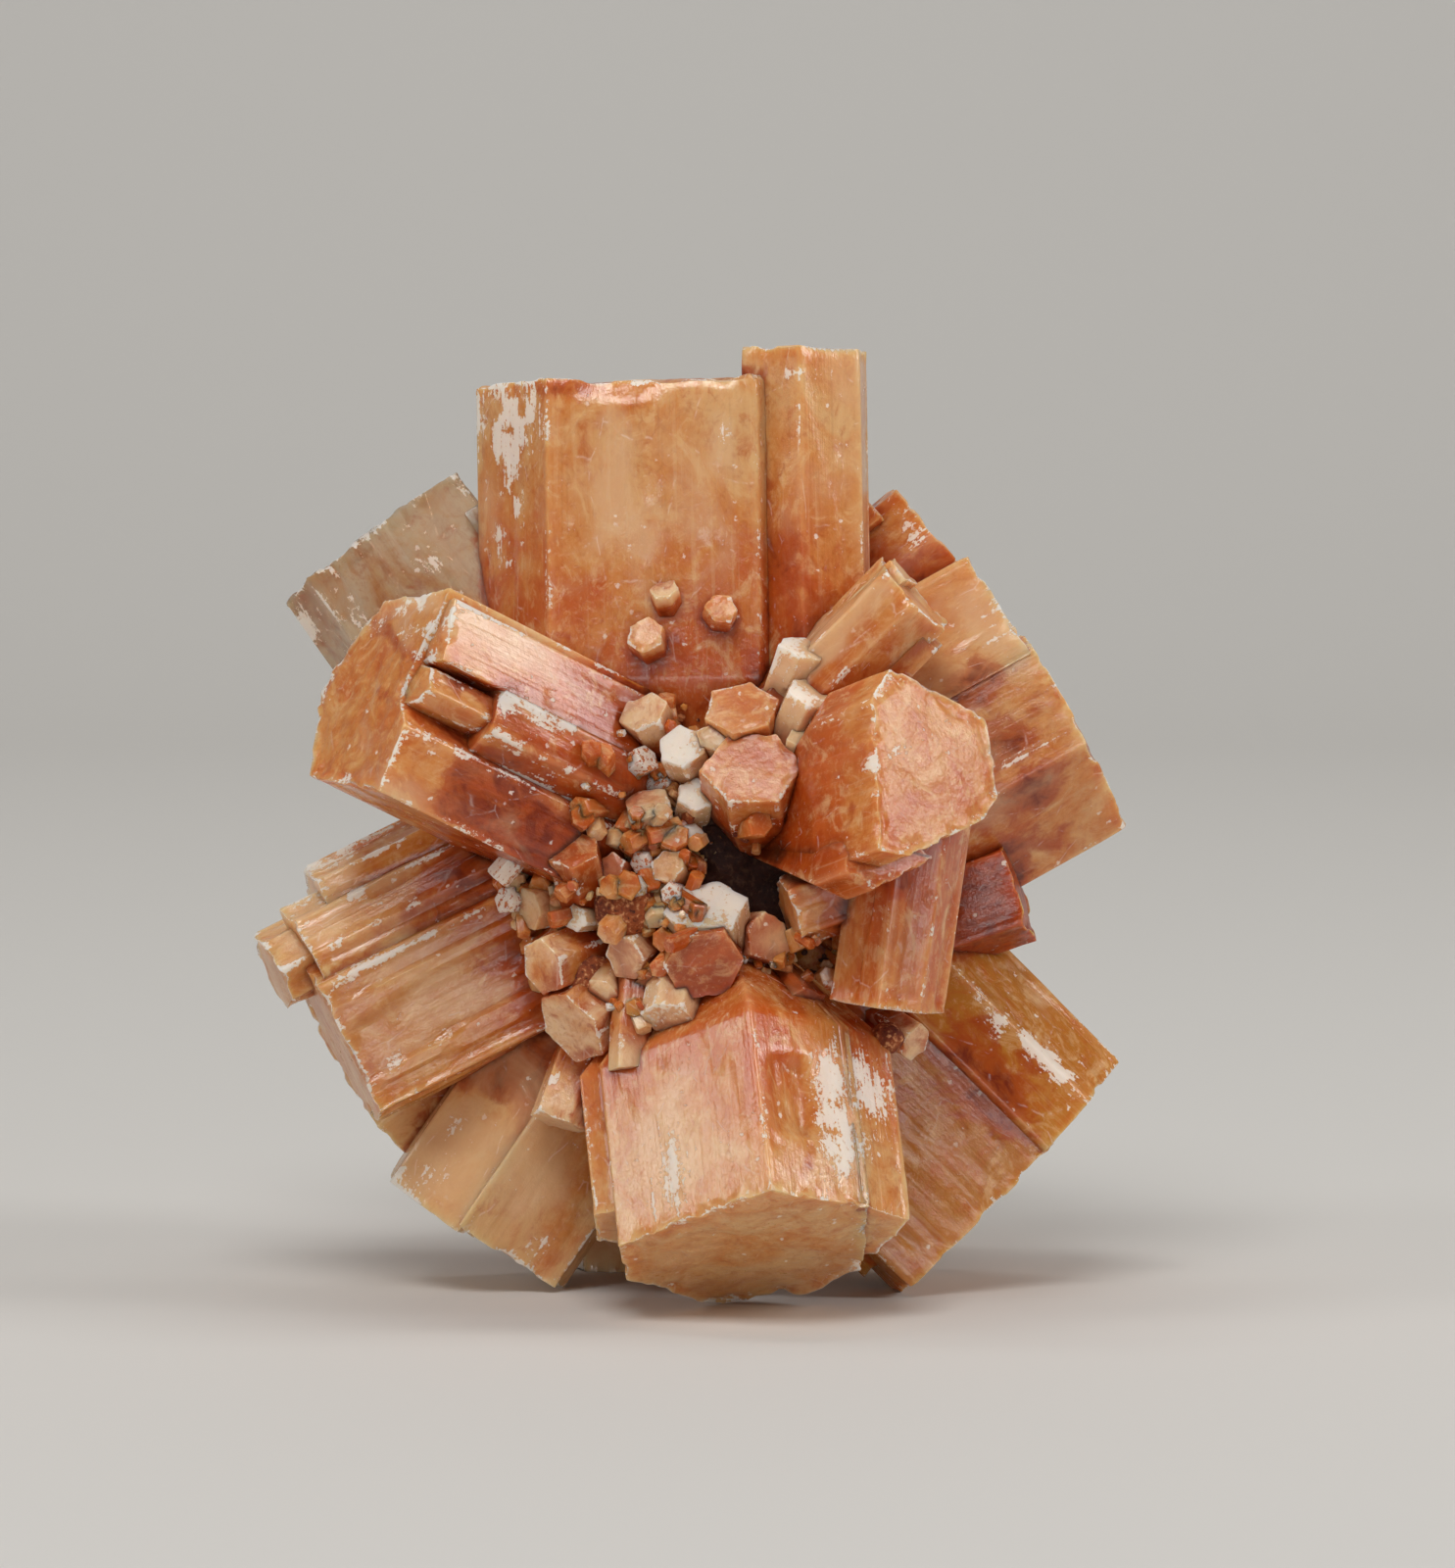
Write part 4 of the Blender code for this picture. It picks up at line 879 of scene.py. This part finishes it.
# The solids draw first for the corners of their lumps, so as many draws are passed over here.
heartDraws, lumpDraws = 162, 42
seeded = np.random.default_rng(7)
seeded.uniform(-0.5, 0.5, heartDraws + lumpDraws * (len(clayLumps) - 1))
taste = np.random.default_rng(23)
backMarks = [("frost", 1.0, 2.4, 0.9), ("white", 0.6, 1.4, 0.9), ("rust", 1.6, 2.4, 0.6),
             ("pale", 2.0, 2.6, 0.8), ("frost", 0.5, 3.0, 0.8), ("rust", 0.8, 1.0, 0.8)]
backSpecs = []
for name, end, clock, toward, reach, across, deep, turn in backCrystals:
    corners = sixSided(across, deep, turn, seeded.uniform(-0.06, 0.06, 6))
    marks = [(kind, taste.uniform(-0.5, 0.5) * across, -taste.uniform(0, 0.45) * reach, wide, long, strength)
             for kind, wide, long, strength in backMarks]
    look = {"warmth": taste.uniform(0.2, 0.9), "rust": taste.uniform(0.0, 0.3),
            "pale": taste.uniform(0.1, 0.5), "golden": max(0.0, taste.uniform(-0.6, 0.8)),
            "plates": taste.uniform(0.5, 1.1), "frost": 0.8, "terrace": 0.09, "striae": 0.04,
            "capRough": 0.06, "capStep": 0.05, "marks": marks}
    backSpecs.append({"name": name + "_crystal", "end": end, "clock": clock, "toward": toward,
                      "reach": reach, "body": 0.6 * reach, "grown": [(0.0, corners)], "look": look})
druseSpecs = []
for end, clock, toward, across, reach, warmth, rust, pale in frontDruse + backDruse:
    turn = seeded.uniform(0, 60)
    corners = sixSided(across, 0.9, turn, seeded.uniform(-0.09, 0.09, 6))
    druseSpecs.append({"name": "druse", "end": end, "clock": clock, "toward": toward, "reach": reach,
                       "body": 0.5 * reach, "narrowing": 0.75, "grown": [(0.0, corners)],
                       "look": {"warmth": warmth, "rust": rust, "pale": pale,
                                "milky": max(0.0, 2.8 * pale - 1.6)}})

# What is round each crystal: the planes of every individual, with a middle and a reach for a quick test.
solids = []
for spec in bigCrystals + backSpecs + druseSpecs:
    # A small crystal gives less rust and less painted crevice shade round where it stands.
    faint = 2.5 if spec["name"] == "druse" else 1.0  # a small crystal darkens less of what it stands on
    along = axesOf(spec["clock"], spec["toward"])[0]
    for lift, corners in spec["grown"]:
        middle = np.array(spec["end"]) - along * spec["reach"] / 2
        span = math.hypot(spec["reach"] / 2, np.abs(np.array(corners)).max())
        solids.append((id(spec), lift, planesOf(spec, lift, corners), middle, span, faint))
print("solids", len(solids))


def dressed(spec, lift, corners, salt, extra):
    # Grows one crystal, wears it flat where it would pass the table, and works out its masks.
    look = {**usual, **extra, **spec["look"]}
    grown = growCrystal(spec, look, lift, corners, salt)
    near = crevice(grown, id(spec), lift, solids)
    p = grown["world"]
    p[:, 2] = np.maximum(p[:, 2], 0.0)
    # Painted shade: this mask darkens the colour towards the heart and in crevices (near), and also places
    # the clay there.
    clayAndShade = ramp(-np.linalg.norm(p - heart, axis=1) + 1.5 * cloud(p * 0.35, 3, 5), -13.5, -8.5)
    clayAndShade = np.clip(0.7 * near + look["clayAndShade"] * clayAndShade, 0, 1)
    # Painted glow: warmth falls off towards the free end, so the end is paler honey as if lit through, and
    # the part towards the root deeper amber.
    warmth = look["warmth"] + 0.6 * (ramp(-grown["local"][:, 2], 0.1 * spec["body"], spec["body"]) - 0.4)
    golden = look["golden"] * (0.75 + 0.5 * cloud(p * 0.3, 3, salt + 40))
    apart = np.array([7.3, 3.1, 5.7]) * (salt % 97)  # so that no two crystals have the same clouds
    return {**grown, "stain": stainsOf(grown, spec, look, near), "grain": grown["local"] + apart,
            "wearAndShade": np.stack([grown["edge"], clayAndShade, grown["cap"]], 1),
            "tint": np.stack([warmth, golden, np.zeros(len(p))], 1)}


def earthy(world, light):
    # Masks of clay: how deep it lies, which darkens it as painted shade, and how light this bit is.
    deep = ramp(-np.linalg.norm(world - heart, axis=1), -9.4, -7.0)
    nothing = np.zeros(len(world))
    return {"grain": world, "stain": np.zeros((len(world), 3)),
            "wearAndShade": np.stack([nothing, deep, nothing], 1),
            "tint": np.stack([nothing + light, nothing, nothing], 1)}


def lump(middle, radius, pitch, rough, salt):
    # A closed lump: a sphere on rows of latitude whose radius is 1 + rough * clouds of its direction.
    rows = max(8, int(math.pi * radius / pitch))
    turns = 2 * rows
    lat, lon = np.meshgrid(np.linspace(0, math.pi, rows + 1)[1:-1],
                           np.arange(turns) * 2 * math.pi / turns, indexing="ij")
    way = np.stack([np.sin(lat) * np.cos(lon), np.sin(lat) * np.sin(lon), np.cos(lat)], -1).reshape(-1, 3)
    way = np.concatenate([[(0, 0, 1)], way, [(0, 0, -1)]])
    spread = radius * (1 + rough * cloud(way * radius * 0.9 + salt, 4, salt))
    spread += 0.12 * cloud(way * radius * 3.2, 2, salt + 9)
    world = np.array(middle) + way * spread[:, None]
    quads, fans = closedGrid(rows - 1, turns)
    return {"world": world, "quads": quads, "fans": fans, **earthy(world, 0.0)}


stainedAragonite = crystalMaterial("iron_stained_aragonite", "#e0b27c", 0.85, 0.0016, 0.0, 0.07)
drusyAragonite = crystalMaterial("drusy_aragonite", "#ecc8a0", 0.95, 0.0009, 0.0, 0.06)
clearAragonite = crystalMaterial("clear_aragonite", "#efd6b4", 0.8, 0.0016, 0.6, 0.05)
ironClay = clayMaterial("iron_clay")

salt, saltStep = 11, 31
for spec in bigCrystals + backSpecs:
    for k, (lift, corners) in enumerate(spec["grown"]):
        salt += saltStep
        name = spec["name"] + ("_" + "abcd"[k] if len(spec["grown"]) > 1 else "")
        buildPiece(name, [dressed(spec, lift, corners, salt, {})],
                   clearAragonite if spec["look"].get("clear") else stainedAragonite)

# How the small crystals of the druse differ from the usual look.
small = {"pitch": 0.15, "edgeRound": 0.1, "rim": 0.06, "striae": 0.025, "terrace": 0.03, "pits": 0.03,
         "chips": 0.12, "chipDepth": 0.3, "capRough": 0.02, "capStep": 0.01, "capWave": 0.05,
         "rootRust": 0.5, "frost": 0.8, "clayAndShade": 0.15}
for name, chosen in (("front_druse", druseSpecs[:len(frontDruse)]),
                     ("back_druse", druseSpecs[len(frontDruse):])):
    parts = []
    for spec in chosen:
        salt += saltStep
        parts.append(dressed(spec, 0.0, spec["grown"][0][1], salt, small))
    buildPiece(name, parts, drusyAragonite)

clayPitch, clayRough, claySalt = 0.2, 0.13, 40
buildPiece("clay_matrix", [lump(middle, radius, clayPitch, clayRough, claySalt + k)
                           for k, (middle, radius) in enumerate(clayLumps)], ironClay)


# Small things on the surface near the heart: rays run in to the heart from all sides, and where one meets
# the solid at less than a set distance from the heart, something may sit.
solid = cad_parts["aragonite_cluster"].data
skin = BVHTree.FromPolygons([v.co / mm for v in solid.vertices], [tuple(p.vertices) for p in solid.polygons])


def landings(count, nearest, farthest, patchy, salt):
    # Hit places and outward normals of random rays, thinned by a cloud so that they lie in drifts.
    # Nothing lands on a face that looks straight out, unless it is deep, nor in the open hollow.
    rayStart, lowest, hollowMiddle, hollowRadius, deepest = 40, 0.3, (2.5, 19.6), 2.1, 7.4
    rng = np.random.default_rng(salt)
    places, normals = [], []
    for way in rng.normal(size=(count, 3)):
        way = Vector(way).normalized()
        hit, normal = skin.ray_cast(Vector(heart) + way * rayStart, -way)[:2]
        if hit is None or hit.z < lowest:
            continue
        out = (hit - Vector(heart)).length
        inHollow = math.hypot(hit.x - hollowMiddle[0], hit.z - hollowMiddle[1]) < hollowRadius and hit.y < 0
        lying = abs(normal.dot(way)) < 0.8 or out < deepest
        if (nearest < out < farthest and lying and not inHollow
                and rng.random() < ramp(out, farthest, farthest - 4)):
            places.append(hit)
            normals.append(normal if normal.dot(way) > 0 else -normal)
    places, normals = np.array(places), np.array(normals)
    keep = cloud(places * 0.4, 2, salt) + rng.uniform(-0.5, 0.5, len(places)) > patchy
    return places[keep], normals[keep], rng


def scattered(shape, faces, places, axes, rng, wide, tall):
    # Copies of a small shape: each turned so that its z is its axis, scaled and put in its place.
    count = len(places)
    side = unit(np.cross(axes, rng.normal(size=(count, 3))))
    other = np.cross(axes, side)
    local = shape * np.stack([wide, wide, tall], 1)[:, None]
    world = (places[:, None] + local[..., :1] * side[:, None] + local[..., 1:2] * other[:, None]
             + local[..., 2:] * axes[:, None])
    index = faces[None] + (np.arange(count) * len(shape))[:, None, None]
    return world, local, index.reshape(-1, faces.shape[1])


def ringsToShape(radii, heights, sides, uneven=0.0):
    # A small closed form: rings of the given radii and heights, closed by a point at each end.
    turn = np.arange(sides) * 2 * math.pi / sides
    wave = 1 + uneven * np.cos(2 * turn)
    rings = [np.stack([r * np.cos(turn) * wave, r * np.sin(turn), np.full(sides, h)], 1)
             for r, h in zip(radii, heights)]
    shape = np.concatenate([[(0, 0, heights[0])]] + rings + [[(0, 0, heights[-1])]])
    return shape, *closedGrid(len(radii), sides)


def seedCrystals():
    # Stubby prisms with a narrow bevel round the end face, 0.3 to 1.4 mm across.
    places, normals, rng = landings(16000, 6.0, 12.5, -0.15, 501)
    most = 560
    places, normals = places[:most], normals[:most]
    count = len(places)
    axes = unit(0.55 * unit(places - heart) + 0.45 * normals + 0.35 * rng.normal(size=(count, 3)))
    wide = 0.16 + 0.55 * rng.random(count) ** 2.5
    tall = wide * rng.uniform(0.9, 2.0, count)
    shape, quads, fans = ringsToShape((0.86, 1.0, 0.94), (1.0, 0.88, -1.2), 6, 0.12)
    world, local, quadIndex = scattered(shape, quads, places, axes, rng, wide, tall)
    fanIndex = scattered(shape, fans, places, axes, rng, wide, tall)[2]
    each = len(shape)
    warmth = rng.choice([0.1, 0.4, 0.7, 1.0], count)
    rust = rng.uniform(0.0, 0.55, count)
    milk = np.where(rng.random(count) < 0.1, 0.75, 0.1)
    repeat = lambda values: np.repeat(values, each)
    nothing = np.zeros(count * each)
    return {"world": world.reshape(-1, 3), "quads": quadIndex, "fans": fanIndex,
            "grain": local.reshape(-1, 3) + repeat(np.arange(count) * 3.7)[:, None],
            "stain": np.stack([repeat(rust), repeat(rng.uniform(0, 0.4, count)), repeat(milk)], 1),
            "wearAndShade": np.stack([nothing, nothing + 0.2, nothing], 1),
            "tint": np.stack([repeat(warmth), nothing, nothing], 1)}


def clayCrumbs():
    # Rounded crumbs 0.2 to 0.9 mm across, half sunk in what they lie on.
    places, normals, rng = landings(14000, 6.0, 10.5, 0.1, 733)
    most = 1500
    places, normals = places[:most], normals[:most]
    count = len(places)
    wide = 0.09 + 0.34 * rng.random(count) ** 3
    tall = wide * rng.uniform(0.6, 1.0, count)
    shape, quads, fans = ringsToShape((0.6, 0.98, 0.86, 0.4), (0.8, 0.25, -0.5, -0.9), 6, 0.15)
    world, quadIndex = scattered(shape, quads, places, normals, rng, wide, tall)[::2]
    lumpy = np.stack([noise(world * 3 + 9 * k, 60 + k) for k in range(3)], -1)
    world += 0.12 * lumpy * (wide / 0.3)[:, None, None]
    fanIndex = scattered(shape, fans, places, normals, rng, wide, tall)[2]
    return {"world": world.reshape(-1, 3), "quads": quadIndex, "fans": fanIndex,
            **earthy(world.reshape(-1, 3), np.repeat(rng.uniform(0, 1, count), len(shape)))}


buildPiece("seed_crystals", [seedCrystals()], drusyAragonite)
buildPiece("clay_crumbs", [clayCrumbs()], ironClay)


# Light and floor: a soft key above and in front, lamps left and right, a low one in front that lights the
# undersides, one on the backdrop, a dim pale room and a pale sweep of paper. Powers in watts, places in m.
studio = {"room": 0.11, "key": 0.57, "left": 0.17, "right": 0.31, "low": 0.12, "behind": 1.5,
          "floor": "#dad7d2"}
world = bpy.data.worlds.new("pale room")
bpy.context.scene.world = world
world.use_nodes = True
world.node_tree.nodes["Background"].inputs[0].default_value = (0.95, 0.93, 0.9, 1)
world.node_tree.nodes["Background"].inputs[1].default_value = studio["room"]


def areaLight(name, place, target, size, power):
    data = bpy.data.lights.new(name, "AREA")
    data.shape = "RECTANGLE"
    data.size, data.size_y = size
    data.energy = power
    lamp = bpy.data.objects.new(name, data)
    lamp.location = place
    lamp.rotation_euler = (Vector(target) - Vector(place)).to_track_quat("-Z", "Y").to_euler()
    bpy.context.scene.collection.objects.link(lamp)


middle = (0.0, 0.0, 0.022)
areaLight("key", (-0.04, -0.22, 0.29), middle, (0.17, 0.12), studio["key"])
areaLight("left", (-0.3, -0.08, 0.17), middle, (0.09, 0.11), studio["left"])
areaLight("right", (0.29, -0.06, 0.16), middle, (0.09, 0.12), studio["right"])
areaLight("low", (0.03, -0.32, 0.02), middle, (0.2, 0.03), studio["low"])
areaLight("behind", (0.0, 0.1, 0.5), (0.0, 0.6, 0.2), (0.5, 0.2), studio["behind"])

# The floor sweeps up behind: flat to 0.35 m, then a quarter circle of 0.25 m, then a wall.
u = np.linspace(-1.2, 1.2, 25)
bend = np.linspace(0, math.pi / 2, 24)
profileY = np.concatenate([[-1.2, -0.5, 0.0, 0.2], 0.35 + 0.25 * np.sin(bend), [0.6]])
profileZ = np.concatenate([[0, 0, 0, 0], 0.25 * (1 - np.cos(bend)), [1.4]])
gridX, gridY = np.meshgrid(u, profileY)
gridZ = np.repeat(profileZ[:, None], len(u), 1)
points = np.stack([gridX, gridY, gridZ], -1).reshape(-1, 3)
index = np.arange(len(points)).reshape(gridX.shape)
quads = np.stack([index[:-1, :-1], index[:-1, 1:], index[1:, 1:], index[1:, :-1]], -1).reshape(-1, 4)
floorMesh = bpy.data.meshes.new("floor")
floorMesh.from_pydata(points.tolist(), [], quads.tolist())
floorMesh.shade_smooth()
floor = bpy.data.objects.new("floor", floorMesh)
bpy.context.scene.collection.objects.link(floor)
paint, tree = startMaterial("pale_backdrop_paper")
paper = addNode(tree, "ShaderNodeBsdfPrincipled", {
    "Base Color": hexToLinear(studio["floor"]), "Roughness": 0.85})
addNode(tree, "ShaderNodeOutputMaterial", links={0: paper.outputs[0]})
floorMesh.materials.append(paint)
